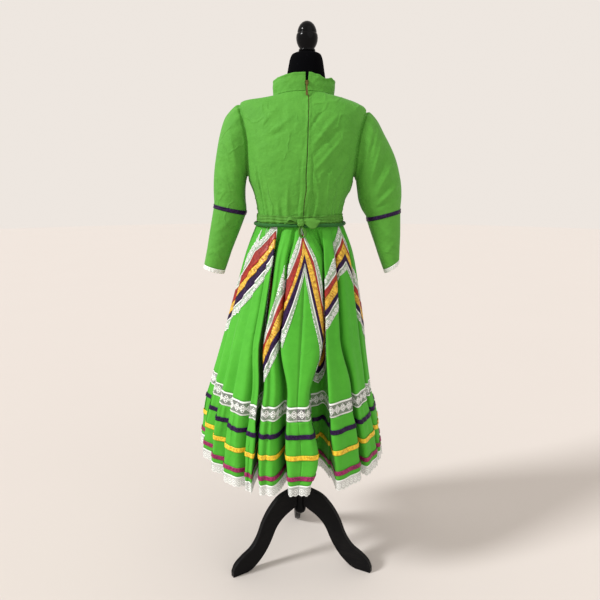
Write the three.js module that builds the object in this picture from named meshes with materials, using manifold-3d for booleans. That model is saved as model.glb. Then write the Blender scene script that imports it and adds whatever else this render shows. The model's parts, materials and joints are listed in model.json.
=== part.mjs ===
// Folklorico dress on a limbless dress form with a tripod stand, seen from the back as +X to the right.
// Millimetres, +Z up. The origin is on the floor under the middle of the whole object.
// Angles round the body start at -X, pass the centre back (-Y) at 90 degrees and +X at 180.
import * as THREE from "three";
import { mergeVertices } from "three/addons/utils/BufferGeometryUtils.js";
import Module from "manifold-3d";

const wasm = await Module();
wasm.setup();

// Cloth and clearances
const CLOTH = 1.4; // wall of the cotton poplin
const RIBBON = 1.0; // wall of ribbons and laces
const SEAM = 0.3; // gap between two pieces at a seam
const LAID_ON = 0.9; // how far a trim's inner face stands off the cloth under it
const TRIM_GAP = 1.2; // gap down the cloth between two trims side by side
const CENTRE_BACK = Math.PI / 2;

// Levels of the skirt, down the centre back
const WAIST_Z = 1079.7;
const INSERTION_TOP_Z = 592;
const INSERTION_BOTTOM_Z = 552.7;
const FLOUNCE_TOP_Z = 551.9;
const HEM_Z = 374;
const HEM_LACE_Z = 342;

// How far the skirt's side levels hang above the centre back ones at the hem
const LIFT_LEFT = 55;
const LIFT_RIGHT = 25;

// Outline of the skirt's crests at each level
const SKIRT_OUTLINE = [
  { z: 1084, left: -124, right: 123, back: -98, front: 98 },
  { z: 998, left: -158, right: 155, back: -125, front: 122 },
  { z: 846, left: -200, right: 180, back: -165, front: 158 },
  { z: 688, left: -246, right: 201, back: -206, front: 196 },
  { z: 575, left: -278, right: 217, back: -232, front: 218 },
  { z: 408, left: -309, right: 249, back: -256, front: 240 },
  { z: 330, left: -312, right: 257, back: -262, front: 246 },
];

// Folds in order round the skirt: the crest's angle at the waist and at the hem, the depth of the valley
// after it and how far the crest itself lies back, both as shares of the radius
const FOLDS = [
  { waist: 20, hem: 26.5, valley: 0.13, back: 0 },
  { waist: 37.5, hem: 46, valley: 0.12, back: 0 },
  { waist: 55, hem: 59, valley: 0.1, back: 0 },
  { waist: 67, hem: 67, valley: 0.2, back: 0.03 },
  { waist: 79, hem: 79, valley: 0.12, back: 0.01 },
  { waist: 90.5, hem: 95, valley: 0.08, back: 0 },
  { waist: 112, hem: 105.5, valley: 0.14, back: 0.17 },
  { waist: 134, hem: 117, valley: 0.07, back: 0.01 },
  { waist: 155.5, hem: 126, valley: 0.17, back: 0.01 },
  { waist: 172.8, hem: 142, valley: 0.16, back: 0 },
  { waist: 190, hem: 167, valley: 0.14, back: 0 },
  { waist: 207.3, hem: 187, valley: 0.12, back: 0 },
  { waist: 224.6, hem: 208, valley: 0.17, back: 0 },
  { waist: 241.9, hem: 228, valley: 0.13, back: 0.02 },
  { waist: 259.1, hem: 249, valley: 0.15, back: 0 },
  { waist: 276.4, hem: 269, valley: 0.18, back: 0 },
  { waist: 293.7, hem: 290, valley: 0.12, back: 0.02 },
  { waist: 311, hem: 311, valley: 0.14, back: 0 },
  { waist: 328.2, hem: 331, valley: 0.17, back: 0 },
  { waist: 345.5, hem: 350, valley: 0.13, back: 0.01 },
  { waist: 362.8, hem: 368.5, valley: 0.15, back: 0 },
];
const COLUMNS_A_FOLD = 4;
const COLUMNS = FOLDS.length * COLUMNS_A_FOLD;
const TWIST_EASE = 0.7; // the crests swing to their hem angles early
const GATHER_SHARE = 0.1; // part of a fold's depth that is there at the waist
const FOLD_FULL_AT = 0.72; // share of the skirt's drop where the folds reach their depth

// Chevrons: one over every three folds, each boundary's level at the point and at the foot
const FOLDS_A_CHEVRON = 3;
const FIRST_POINT_FOLD = 2;
const CHEVRON_EDGES = [
  { name: "chevron_lace_outer", point: 1070, foot: 835, colour: "#e9efe4" },
  { name: "chevron_red", point: 1052, foot: 752, colour: "#aa2820" },
  { name: "chevron_gold", point: 1037, foot: 732, colour: "#e6aa2c" },
  { name: "chevron_purple", point: 1010, foot: 694, colour: "#3d1556" },
  { name: "chevron_lace_inner", point: 983, foot: 670, colour: "#e9efe4" },
  { name: "", point: 950, foot: 641, colour: "" },
];

// The chevron boundaries that are also rows of the skirt's faces, from the lowest up
const SKIRT_MESH_EDGES = [5, 3, 2, 1, 0];

// Ribbons on the flounce
const FLOUNCE_RIBBONS = [
  { name: "flounce_ribbon_purple", top: 519, bottom: 505, colour: "#3d1556" },
  { name: "flounce_ribbon_yellow", top: 461, bottom: 446, colour: "#f2be24" },
  { name: "flounce_ribbon_magenta", top: 401, bottom: 387, colour: "#a8195f" },
];
const FLOUNCE_MIDDLE_Z = 461; // a level of the flounce between its edges
const GATHER_RIPPLE = 2.6; // small gathers where the flounce is sewn on
const SCALLOP = 3; // rise and fall of the hem lace's lower edge

// Quarters of the skirt, by the column of each seam, counted from the first fold
const QUARTERS = [
  { name: "back_right", from: 20, to: 41 },
  { name: "front_right", from: 41, to: 62 },
  { name: "front_left", from: 62, to: 83 },
  { name: "back_left", from: 83, to: 104 },
];

// Bodice rings from the waist to the neck seam: side, back and front heights and reaches
const BODICE_RINGS = [
  { side: 1080, backZ: 1080, frontZ: 1080, left: -124, right: 122.6, back: -98, front: 98 },
  { side: 1106, backZ: 1106, frontZ: 1106, left: -122.5, right: 121, back: -98, front: 100 },
  { side: 1145, backZ: 1145, frontZ: 1145, left: -129, right: 130.5, back: -106, front: 110 },
  { side: 1174, backZ: 1176, frontZ: 1176, left: -137.4, right: 146, back: -112, front: 120 },
  { side: 1208, backZ: 1214, frontZ: 1214, left: -150, right: 156, back: -117, front: 128 },
  { side: 1262, backZ: 1268, frontZ: 1266, left: -160, right: 170, back: -119, front: 130 },
  { side: 1324, backZ: 1326, frontZ: 1322, left: -170, right: 182, back: -114, front: 118 },
  { side: 1372, backZ: 1378, frontZ: 1366, left: -177, right: 190, back: -101, front: 98 },
  { side: 1400, backZ: 1410, frontZ: 1396, left: -170, right: 186, back: -86, front: 78 },
  { side: 1422, backZ: 1430, frontZ: 1414, left: -120, right: 142, back: -74, front: 64 },
  { side: 1432, backZ: 1443, frontZ: 1422, left: -75, right: 95, back: -65, front: 56 },
];
const BODICE_COLUMNS = 28; // the whole way round
const BODICE_SQUARE = 2.35; // exponent of the rounded section
const CENTRE_BACK_TURN = 0.06; // the dress hangs turned a little on the form, in radians at the centre back
const COLLAR_RINGS = [
  { side: 1432, backZ: 1443, frontZ: 1422, left: -75, right: 95, back: -65, front: 56 },
  { side: 1456, backZ: 1468, frontZ: 1444, left: -77, right: 98.5, back: -64, front: 58 },
  { side: 1475, backZ: 1492, frontZ: 1466, left: -76, right: 99, back: -62, front: 60 },
];
const ZIP_HALF_GAP = 2.2; // from the centre back to each panel's edge
const COLLAR_TOP_HALF_GAP = 4.5; // the collar stands open above the zip
const ZIP_HALF_WIDTH = 1.8;
const ZIP_TOP_Z = 1458.6;

// Belt, its rolled cord and the bow
const BELT_BOTTOM_Z = 1084.2;
const BELT_TOP_ROW = 1; // of the bodice rings
const BELT_CORD_Z = 1078.5;
const BELT_CORD_R = 4.6;
const BELT_CORD_SIDES = 6;
const BELT_CORD_STEPS = 24;
const BELT_CORD_OUT = 0.6; // further clearance of the cord from the waist
const KNOT_SQUARE = 0.5; // how boxy the knot is
const BOW_LOOP_Y = -108;
const BOW_TAIL_Y = -112.9;
const BOW_HANG_Y = -110;
const KNOT = { x: 2, y: -110.4, z: 1088, wide: 19, deep: 18, high: 20 };

// Sleeve sections from inside the armhole to the cuff: outer and inner edge, half depth, fore and aft shift
const SLEEVE_LEFT = [
  { outX: -140, outZ: 1406, inX: -128, inZ: 1222, deep: 52, y: -2 },
  { outX: -168, outZ: 1418, inX: -153, inZ: 1207, deep: 60, y: -2 },
  { outX: -200, outZ: 1399, inX: -158, inZ: 1190, deep: 66, y: -2 },
  { outX: -220, outZ: 1364, inX: -160, inZ: 1172, deep: 66, y: -1 },
  { outX: -240, outZ: 1281, inX: -160, inZ: 1146, deep: 62, y: 0 },
  { outX: -250, outZ: 1205, inX: -158.5, inZ: 1128, deep: 56, y: 1 },
  { outX: -251.6, outZ: 1136, inX: -158.7, inZ: 1115, deep: 50, y: 3 },
  { outX: -254, outZ: 1122, inX: -162, inZ: 1101, deep: 49, y: 3 },
  { outX: -270, outZ: 1042, inX: -193, inZ: 1023, deep: 42, y: 6 },
  { outX: -288, outZ: 956, inX: -225, inZ: 938, deep: 35, y: 9 },
];
const SLEEVE_RIGHT = [
  { outX: 160, outZ: 1384, inX: 134, inZ: 1216, deep: 52, y: -2 },
  { outX: 189, outZ: 1393, inX: 160, inZ: 1205, deep: 60, y: -2 },
  { outX: 216, outZ: 1371, inX: 165, inZ: 1188, deep: 66, y: -2 },
  { outX: 240, outZ: 1332, inX: 168, inZ: 1168, deep: 66, y: -1 },
  { outX: 275, outZ: 1266, inX: 172, inZ: 1144, deep: 62, y: 0 },
  { outX: 295, outZ: 1186, inX: 182, inZ: 1118, deep: 56, y: 1 },
  { outX: 295, outZ: 1122, inX: 196, inZ: 1096, deep: 50, y: 3 },
  { outX: 295.5, outZ: 1108, inX: 199, inZ: 1082, deep: 49, y: 3 },
  { outX: 297, outZ: 1040, inX: 224, inZ: 1012, deep: 42, y: 6 },
  { outX: 298, outZ: 971, inX: 250.5, inZ: 940, deep: 35, y: 9 },
];
const SLEEVE_COLUMNS = 16;
const SLEEVE_RIBBON_ROWS = [6, 7];
const CUFF_LACE = 13; // length of the lace below the cuff
const ARMHOLE_LEDGE = 3.5; // how far the bodice reaches in under the sleeve

// Front flounce of the bodice, out of sight from the back, by angle and stand-off from the bodice
const FRONT_FLOUNCE = { from: 207, to: 334, columns: 22, topZ: 1262, midZ: 1234, edgeZ: 1212, laceZ: 1192 };
const FRONT_FLARE = { top: 0.5, mid: 7, edge: 13, lace: 17, wave: 3.5 };

// Dress form: rings of the torso, below the shoulders and above them
const TORSO_LOW = [
  { z: 848, left: -112, right: 122, back: -86, front: 86 },
  { z: 862, left: -127, right: 139, back: -96, front: 95 },
  { z: 960, left: -122, right: 136, back: -95, front: 93 },
  { z: 1080, left: -102, right: 114, back: -84, front: 82 },
  { z: 1150, left: -110, right: 122, back: -90, front: 92 },
  { z: 1215, left: -124, right: 136, back: -100, front: 110 },
  { z: 1270, left: -132, right: 146, back: -104, front: 116 },
  { z: 1325, left: -134, right: 150, back: -100, front: 102 },
  { z: 1368, left: -130, right: 150, back: -90, front: 86 },
  { z: 1396, left: -118, right: 138, back: -79, front: 71 },
];
const TORSO_NECK = [
  { z: 1452, left: -46, right: 77, back: -52, front: 46 },
  { z: 1497, left: -36, right: 69.5, back: -47, front: 45 },
  { z: 1532, left: -29, right: 64, back: -43, front: 43 },
  { z: 1547, left: -22, right: 58, back: -37, front: 37 },
  { z: 1554.6, left: -4, right: 42, back: -22, front: 22 },
];
const SEAT_GAP = 0.6; // the shoulders carry the bodice at this distance
const TORSO_SEAT_RINGS = [9, 10];

// Stand
const LEAN = 0.0135; // the pole stands a little to the right, in radians
const HUB_TOP_Z = 232;
const POLE_R = 13;
const POLE_TOP_Z = 847.2;
// radius and height of each outline point
const HUB_PROFILE = [[0, 140], [12, 141], [18, 147], [19.5, 155], [18.5, 163], [15.5, 168], [15.5, HUB_TOP_Z],
  [0, HUB_TOP_Z]];
const LEG_UPPER = [[15.9, 232], [45, 230], [82, 218], [115, 188], [140, 150], [158, 108], [182, 76], [215, 56],
  [238, 38], [249, 16], [249, 0]];
const LEG_LOWER = [[200, 0], [178, 8], [150, 30], [128, 56], [112, 82], [92, 120], [65, 146], [30, 164], [15.9, 174]];
const LEG_THICK = 18;
const LEG_TURNS = [{ name: "leg_left", turn: 213 }, { name: "leg_right", turn: 333 }, { name: "leg_back", turn: 93 }];
const FINIAL_X = 19.6;
const FINIAL_PROFILE = [[0, 1555], [22, 1555], [23.5, 1558], [23, 1561], [21, 1563], [25.5, 1571], [29.6, 1582], [30.4, 1591],
  [29, 1600], [27, 1602.5], [26.6, 1606], [25, 1614], [20.5, 1624], [12, 1632], [0, 1635]];

// Zip slider and pull tab: the tab's pin is a cross bar on two lugs
const SLIDER = { wide: 9, high: 11, deep: 2.2, z: 1464.5, standOff: 0.5 };
const CORE = { half: 1.7, joined: 0.4, deep: 2, below: 1 };
const PIN = { z: 1467.5, out: 2.9, r: 0.7, long: 9, lug: 1.8, cheek: 1.3, sides: 8 };
const TAB = { eyeOuter: 2.1, eyeInner: 1.15, thick: 1.6, wide: 6.4, waist: 3.2, long: 40, gap: 0.5, tilt: 14 };
const TONGUE = { rootIn: 0.05, rootUp: 0.6, waistAt: 8, flare: 4 }; // inset and overlap at the eye, waist and taper

const GREEN = "#58be3c";
const DEEP_GREEN = "#1d6a2a";
const LACE_WHITE = "#eef0ea";
const PURPLE = "#3d1556";
const BLACK = "#08080a";
const BRASS = "#7d6a35";

const lerp = THREE.MathUtils.lerp;
const rad = THREE.MathUtils.degToRad;
const wrap = (i, n) => ((i % n) + n) % n;

const dress = new THREE.Group();

/** Adds a named mesh of one colour to the object. */
function addMesh(name, geometry, colour, roughness = 0.85, metalness = 0) {
  const mesh = new THREE.Mesh(geometry, new THREE.MeshStandardMaterial({ color: colour, roughness, metalness }));
  mesh.name = name;
  dress.add(mesh);
  return mesh;
}

/** Geometry of a list of points and triangles. */
function geometryOf(points, triangles) {
  const geometry = new THREE.BufferGeometry();
  geometry.setAttribute("position", new THREE.Float32BufferAttribute(points.flatMap((p) => [p.x, p.y, p.z]), 3));
  geometry.setIndex(triangles);
  return geometry;
}

/** A closed geometry as a solid for cutting. */
function solidOf(geometry) {
  const bare = geometry.clone();
  bare.deleteAttribute("normal");
  bare.deleteAttribute("uv");
  const merged = mergeVertices(bare, 1e-4);
  return new wasm.Manifold(new wasm.Mesh({
    numProp: 3,
    vertProperties: new Float32Array(merged.attributes.position.array),
    triVerts: new Uint32Array(merged.index.array),
  }));
}

/** The geometry of a cut solid, its largest body only. */
function geometryOfSolid(solid) {
  const body = solid.decompose().reduce((a, b) => (b.volume() > a.volume() ? b : a));
  const mesh = body.getMesh();
  const geometry = new THREE.BufferGeometry();
  geometry.setAttribute("position", new THREE.BufferAttribute(mesh.vertProperties, 3));
  geometry.setIndex(new THREE.BufferAttribute(mesh.triVerts, 1));
  return geometry;
}

/** The row of a table at a value of one of its columns, worked out between the rows on both sides. */
function rowAt(table, column, value) {
  const rising = table[table.length - 1][column] > table[0][column];
  let i = 0;
  while (i < table.length - 2 && (rising ? table[i + 1][column] < value : table[i + 1][column] > value)) i += 1;
  const t = THREE.MathUtils.clamp((value - table[i][column]) / (table[i + 1][column] - table[i][column]), 0, 1);
  return blend(table[i], table[i + 1], t);
}

/** A row between two rows. */
function blend(a, b, t) {
  return Object.fromEntries(Object.keys(a).map((key) => [key, lerp(a[key], b[key], t)]));
}

/** The point of a rounded section at an angle, with a share of its radius. */
function sectionPoint(row, angle, square, share, z) {
  const c = -Math.cos(angle);
  const s = -Math.sin(angle);
  const x = Math.sign(c) * Math.abs(c) ** (2 / square);
  const y = Math.sign(s) * Math.abs(s) ** (2 / square);
  return new THREE.Vector3(
    (row.left + row.right) / 2 + (x * share * (row.right - row.left)) / 2,
    (row.back + row.front) / 2 + (y * share * (row.front - row.back)) / 2,
    z,
  );
}

/** A closed wall between two offsets of a grid of points, whose rows rise and whose columns run with the angle. */
function wall(grid, normals, inner, outer, ring) {
  const rows = grid.length;
  const columns = grid[0].length;
  const points = [];
  for (const off of [inner, outer]) {
    grid.forEach((line, r) => line.forEach((p, c) => points.push(p.clone().addScaledVector(normals[r][c], off))));
  }
  const at = (side, r, c) => side * rows * columns + r * columns + (ring ? c % columns : c);
  const triangles = [];
  const quad = (a, b, c, d) => triangles.push(a, b, c, a, c, d);
  const spans = ring ? columns : columns - 1;
  for (let c = 0; c < spans; c += 1) {
    for (let r = 0; r < rows - 1; r += 1) {
      quad(at(1, r, c), at(1, r, c + 1), at(1, r + 1, c + 1), at(1, r + 1, c));
      triangles.push(at(0, r, c), at(0, r + 1, c + 1), at(0, r, c + 1), at(0, r, c), at(0, r + 1, c), at(0, r + 1, c + 1));
    }
    quad(at(0, 0, c + 1), at(1, 0, c + 1), at(1, 0, c), at(0, 0, c));
    quad(at(1, rows - 1, c), at(1, rows - 1, c + 1), at(0, rows - 1, c + 1), at(0, rows - 1, c));
  }
  if (!ring) {
    for (let r = 0; r < rows - 1; r += 1) {
      quad(at(1, r, 0), at(1, r + 1, 0), at(0, r + 1, 0), at(0, r, 0));
      const last = columns - 1;
      quad(at(0, r, last), at(0, r + 1, last), at(1, r + 1, last), at(1, r, last));
    }
  }
  return geometryOf(points, triangles);
}

/** A solid inside rings of points that rise, closed by a flat fan at each end. */
function filled(grid) {
  const columns = grid[0].length;
  const points = grid.flat();
  const triangles = [];
  for (let r = 0; r < grid.length - 1; r += 1) {
    for (let c = 0; c < columns; c += 1) {
      const d = (c + 1) % columns;
      const a = r * columns;
      const b = a + columns;
      triangles.push(a + c, a + d, b + d, a + c, b + d, b + c);
    }
  }
  for (const [r, flip] of [[0, true], [grid.length - 1, false]]) {
    const centre = points.length;
    points.push(grid[r].reduce((sum, p) => sum.add(p), new THREE.Vector3()).divideScalar(columns));
    for (let c = 0; c < columns; c += 1) {
      const a = r * columns + c;
      const b = r * columns + ((c + 1) % columns);
      triangles.push(centre, ...(flip ? [b, a] : [a, b]));
    }
  }
  return geometryOf(points, triangles);
}

/** Normals of a surface function at its parameters, from small steps both ways. */
function normalOf(surface, u, v, stepU, stepV) {
  const along = surface(u + stepU, v).sub(surface(u - stepU, v));
  const up = surface(u, v + stepV).sub(surface(u, v - stepV));
  return along.cross(up).normalize();
}

/** Points moved along their normals. */
function offsetGrid(grid, normals, distance) {
  return grid.map((line, r) => line.map((p, c) => p.clone().addScaledVector(normals[r][c], distance)));
}

// Skirt

/** Share of a fold's full depth at a share of the drop. */
function foldGrowth(drop) {
  return lerp(GATHER_SHARE, 1, Math.min(1, drop / FOLD_FULL_AT) ** 0.85);
}

/** A point on the skirt's outer face, by its place in the folds and its level at the centre back. */
function skirtPoint(fold, level) {
  const drop = THREE.MathUtils.clamp((WAIST_Z - level) / (WAIST_Z - HEM_Z), 0, 1.2);
  const k = Math.floor(fold);
  const phase = fold - k;
  const of = (i) => FOLDS[wrap(i, FOLDS.length)];
  const crest = (i) => {
    const turn = 360 * Math.floor(i / FOLDS.length);
    return rad(lerp(of(i).waist, of(i).hem, Math.min(1, drop) ** TWIST_EASE) + turn);
  };
  const angle = lerp(crest(k), crest(k + 1), phase);
  const dip = ((1 - Math.cos(2 * Math.PI * phase)) / 2) ** 1.3;
  const share = 1 - foldGrowth(drop) * (lerp(of(k).back, of(k + 1).back, phase) + of(k).valley * dip);
  const lift = (Math.cos(angle) > 0 ? LIFT_LEFT : LIFT_RIGHT) * Math.cos(angle) ** 4 * drop;
  const z = level + lift;
  return sectionPoint(rowAt(SKIRT_OUTLINE, "z", z), angle, 2, share, z);
}

const skirtNormal = (fold, level) => normalOf(skirtPoint, fold, level, 1 / COLUMNS_A_FOLD, 8);

/** Grid of the skirt's surface: a level for each row may depend on the column. */
function skirtGrid(levels, from, to, ripple = () => 0, seam = 0) {
  const grid = { levels: [], points: [], normals: [] };
  for (const level of levels) {
    const line = [];
    const across = [];
    const heights = [];
    for (let c = from; c <= to; c += 1) {
      const fold = c / COLUMNS_A_FOLD;
      const z = typeof level === "function" ? level(c) : level;
      const normal = skirtNormal(fold, z);
      const p = skirtPoint(fold, z).addScaledVector(normal.clone().setZ(0), ripple(c, z));
      if (seam && (c === from || c === to)) {
        const next = skirtPoint(fold + (c === from ? 0.1 : -0.1), z).sub(skirtPoint(fold, z)).normalize();
        p.addScaledVector(next, seam / 2);
      }
      line.push(p);
      across.push(normal);
      heights.push(z);
    }
    grid.points.push(line);
    grid.normals.push(across);
    grid.levels.push(heights);
  }
  return grid;
}

/** A row of points on a grid's own faces, at a level for each column. */
function rowOnGrid(grid, level) {
  const points = [];
  const normals = [];
  grid.points[0].forEach((_, c) => {
    const z = typeof level === "function" ? level(c) : level;
    let r = 0;
    while (r < grid.levels.length - 2 && grid.levels[r + 1][c] < z - 1e-6) r += 1;
    const t = (z - grid.levels[r][c]) / (grid.levels[r + 1][c] - grid.levels[r][c]);
    points.push(grid.points[r][c].clone().lerp(grid.points[r + 1][c], t));
    normals.push(grid.normals[r][c].clone().lerp(grid.normals[r + 1][c], t).normalize());
  });
  return { points, normals };
}

/** Level of a chevron boundary at a column. */
function chevronLevel(edge) {
  return (column) => {
    const fold = wrap(column / COLUMNS_A_FOLD - FIRST_POINT_FOLD, FOLDS_A_CHEVRON);
    const away = Math.min(fold, FOLDS_A_CHEVRON - fold) / (FOLDS_A_CHEVRON / 2);
    return lerp(edge.point, edge.foot, away);
  };
}

/** Small gathers that fade down the flounce. */
function gather(column, level) {
  const fade = THREE.MathUtils.clamp((level - HEM_Z) / (FLOUNCE_TOP_Z - HEM_Z), 0, 1);
  return GATHER_RIPPLE * (column % 2 === 0 ? 1 : -1) * lerp(0.4, 1, fade);
}

function addSkirt() {
  const edges = CHEVRON_EDGES.map(chevronLevel);
  const onMesh = SKIRT_MESH_EDGES.map((i) => edges[i]);
  const skirtLevels = [INSERTION_TOP_Z + SEAM, ...onMesh, WAIST_Z];
  const flounceLevels = [HEM_Z, FLOUNCE_MIDDLE_Z, FLOUNCE_TOP_Z];
  const scallop = (c) => HEM_LACE_Z + (c % 2 === 0 ? SCALLOP : -SCALLOP);
  for (const { name, from, to } of QUARTERS) {
    const gore = skirtGrid(skirtLevels, from, to, undefined, SEAM);
    addMesh("skirt_" + name, wall(gore.points, gore.normals, -CLOTH, 0, false), GREEN);
    const lace = skirtGrid([INSERTION_BOTTOM_Z, INSERTION_TOP_Z], from, to, undefined, SEAM);
    addMesh("insertion_" + name, wall(lace.points, lace.normals, -CLOTH, 0, false), LACE_WHITE);
    const flounce = skirtGrid(flounceLevels, from, to, gather, SEAM);
    addMesh("flounce_" + name, wall(flounce.points, flounce.normals, -CLOTH, 0, false), GREEN);
    const hem = skirtGrid([scallop, HEM_Z - SEAM], from, to, gather, SEAM);
    addMesh("hem_lace_" + name, wall(hem.points, hem.normals, -CLOTH, 0, false), LACE_WHITE);
  }
  const round = skirtGrid(skirtLevels, 0, COLUMNS - 1);
  CHEVRON_EDGES.slice(0, -1).forEach((edge, i) => {
    addMesh(edge.name, trimOn(rowOnGrid(round, edges[i + 1]), rowOnGrid(round, edges[i])), edge.colour, 0.5);
  });
  const flounceRound = skirtGrid(flounceLevels, 0, COLUMNS - 1, gather);
  for (const { name, bottom, top, colour } of FLOUNCE_RIBBONS) {
    addMesh(name, trimOn(rowOnGrid(flounceRound, bottom), rowOnGrid(flounceRound, top)), colour, 0.4);
  }
}

/** A strip sewn between two rows on a cloth, narrowed at both edges so that strips side by side stay apart. */
function trimOn(low, high) {
  low.points.forEach((p, c) => {
    const up = high.points[c].clone().sub(p).normalize();
    p.addScaledVector(up, TRIM_GAP / 2);
    high.points[c].addScaledVector(up, -TRIM_GAP / 2);
  });
  return wall([low.points, high.points], [low.normals, high.normals], LAID_ON, LAID_ON + RIBBON, true);
}

// Bodice and collar

/** A point on rings given by a table, at an angle and a row that may lie between two. */
function ringPoint(table, angle, row) {
  const i = THREE.MathUtils.clamp(Math.floor(row), 0, table.length - 2);
  const ring = blend(table[i], table[i + 1], row - i);
  const s = Math.sin(angle);
  const middle = s > 0 ? ring.backZ : ring.frontZ;
  const turned = angle + CENTRE_BACK_TURN * Math.max(0, s) ** 2;
  return sectionPoint(ring, turned, BODICE_SQUARE, 1, lerp(ring.side, middle, s * s));
}

const bodicePoint = (angle, row) => ringPoint(BODICE_RINGS, angle, row);
const collarPoint = (angle, row) => ringPoint(COLLAR_RINGS, angle, row);

/** Grid on a ring surface, with its normals and each panel edge moved in along the cloth. */
function ringGrid(surface, rows, angles, edge = () => 0) {
  const points = [];
  const normals = [];
  const step = (2 * Math.PI) / BODICE_COLUMNS;
  for (const row of rows) {
    points.push(angles.map((angle, c) => {
      const p = surface(angle, row);
      const end = c === 0 ? 1 : c === angles.length - 1 ? -1 : 0;
      if (end && edge(angle, row)) {
        const along = surface(angle + end * 0.02, row).sub(p).normalize();
        p.addScaledVector(along, edge(angle, row));
      }
      return p;
    }));
    normals.push(angles.map((angle) => normalOf(surface, angle, row, step, 0.25)));
  }
  return { points, normals };
}

/** Angles from one to another, in degrees, both ends included. */
function fan(from, to, steps) {
  return Array.from({ length: steps + 1 }, (_, i) => rad(lerp(from, to, i / steps)));
}

const BODICE_ROWS = BODICE_RINGS.map((_, i) => i);
const wholeRound = fan(0, 360, BODICE_COLUMNS).slice(0, -1);
const bodiceShell = ringGrid(bodicePoint, BODICE_ROWS, wholeRound);

/** The whole space inside the bodice's outer face, grown by a distance. */
function bodiceSpace(grow) {
  return solidOf(filled(offsetGrid(bodiceShell.points, bodiceShell.normals, grow)));
}

/** Edge of a back panel at the centre back or at a side seam. */
function panelEdge(angle) {
  return Math.abs(angle - CENTRE_BACK) < 1e-6 ? ZIP_HALF_GAP : SEAM / 2;
}

function addBodice(armholes) {
  const quarter = BODICE_COLUMNS / 4;
  const panels = [
    { name: "bodice_back_left", angles: fan(0, 90, quarter) },
    { name: "bodice_back_right", angles: fan(90, 180, quarter) },
    { name: "bodice_front", angles: fan(180, 360, 2 * quarter) },
  ];
  for (const { name, angles } of panels) {
    const { points, normals } = ringGrid(bodicePoint, BODICE_ROWS, angles, panelEdge);
    let solid = solidOf(wall(points, normals, -CLOTH, 0, false));
    for (const hole of armholes) solid = solid.subtract(hole);
    addMesh(name, geometryOfSolid(solid), GREEN);
  }
}

function addCollar() {
  const edge = (angle, row) => lerp(ZIP_HALF_GAP, COLLAR_TOP_HALF_GAP, row / 2);
  const rows = [0, 1, 2];
  const { points, normals } = ringGrid(collarPoint, rows, fan(90, 450, BODICE_COLUMNS), edge);
  points[0].forEach((p) => p.setZ(p.z + SEAM));
  addMesh("collar", wall(points, normals, -CLOTH, 0, false), GREEN);
}

/** The point of the collar's centre back line at a height. */
function collarBack(z) {
  const i = z < COLLAR_RINGS[1].backZ ? 0 : 1;
  return collarPoint(CENTRE_BACK, i + THREE.MathUtils.inverseLerp(COLLAR_RINGS[i].backZ, COLLAR_RINGS[i + 1].backZ, z));
}

/** A flat strip down the centre back, by the points of its outer face from the bottom up. */
function addZip() {
  const rise = [...BODICE_ROWS.map((row) => bodicePoint(CENTRE_BACK, row)), collarBack(ZIP_TOP_Z)];
  rise[0].setZ(WAIST_Z + 2 * SEAM);
  const grid = rise.map((p) => [-ZIP_HALF_WIDTH, ZIP_HALF_WIDTH].map((side) => p.clone().setX(p.x + side)));
  const normals = grid.map((line) => line.map(() => new THREE.Vector3(0, -1, 0)));
  addMesh("zip", wall(grid, normals, -CLOTH, 0, false), BRASS, 0.5, 0.3);
}

/** A box between two corners. */
function box(low, high) {
  const size = new THREE.Vector3().subVectors(high, low);
  const geometry = new THREE.BoxGeometry(size.x, size.y, size.z);
  geometry.translate((low.x + high.x) / 2, (low.y + high.y) / 2, (low.z + high.z) / 2);
  return geometry;
}

function addSlider() {
  const seat = collarBack(SLIDER.z);
  const x = seat.x;
  const back = seat.y - SLIDER.standOff;
  const face = back - SLIDER.deep;
  const pinY = face - PIN.out;
  const v = (a, b, c) => new THREE.Vector3(a, b, c);
  const low = SLIDER.z - SLIDER.high / 2;
  const high = SLIDER.z + SLIDER.high / 2;
  let body = solidOf(box(v(x - SLIDER.wide / 2, face, low), v(x + SLIDER.wide / 2, back, high)));
  // the core that runs between the collar's two edges, on the top of the zip
  const core = box(v(x - CORE.half, back - CORE.joined, ZIP_TOP_Z + SEAM), v(x + CORE.half, back + CORE.deep, high - CORE.below));
  body = body.add(solidOf(core));
  for (const side of [-1, 1]) {
    const near = x + side * (PIN.long / 2 - PIN.lug);
    const far = x + (side * PIN.long) / 2;
    const from = v(Math.min(near, far), pinY - PIN.cheek, PIN.z - PIN.cheek);
    body = body.add(solidOf(box(from, v(Math.max(near, far), face + CORE.joined, PIN.z + PIN.cheek))));
  }
  const pin = new THREE.CylinderGeometry(PIN.r, PIN.r, PIN.long - PIN.lug, PIN.sides);
  pin.rotateZ(Math.PI / 2).translate(x, pinY, PIN.z);
  addMesh("zip_slider", geometryOfSolid(body.add(solidOf(pin))), BRASS, 0.35, 0.8);
  return { x, y: pinY };
}

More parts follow.
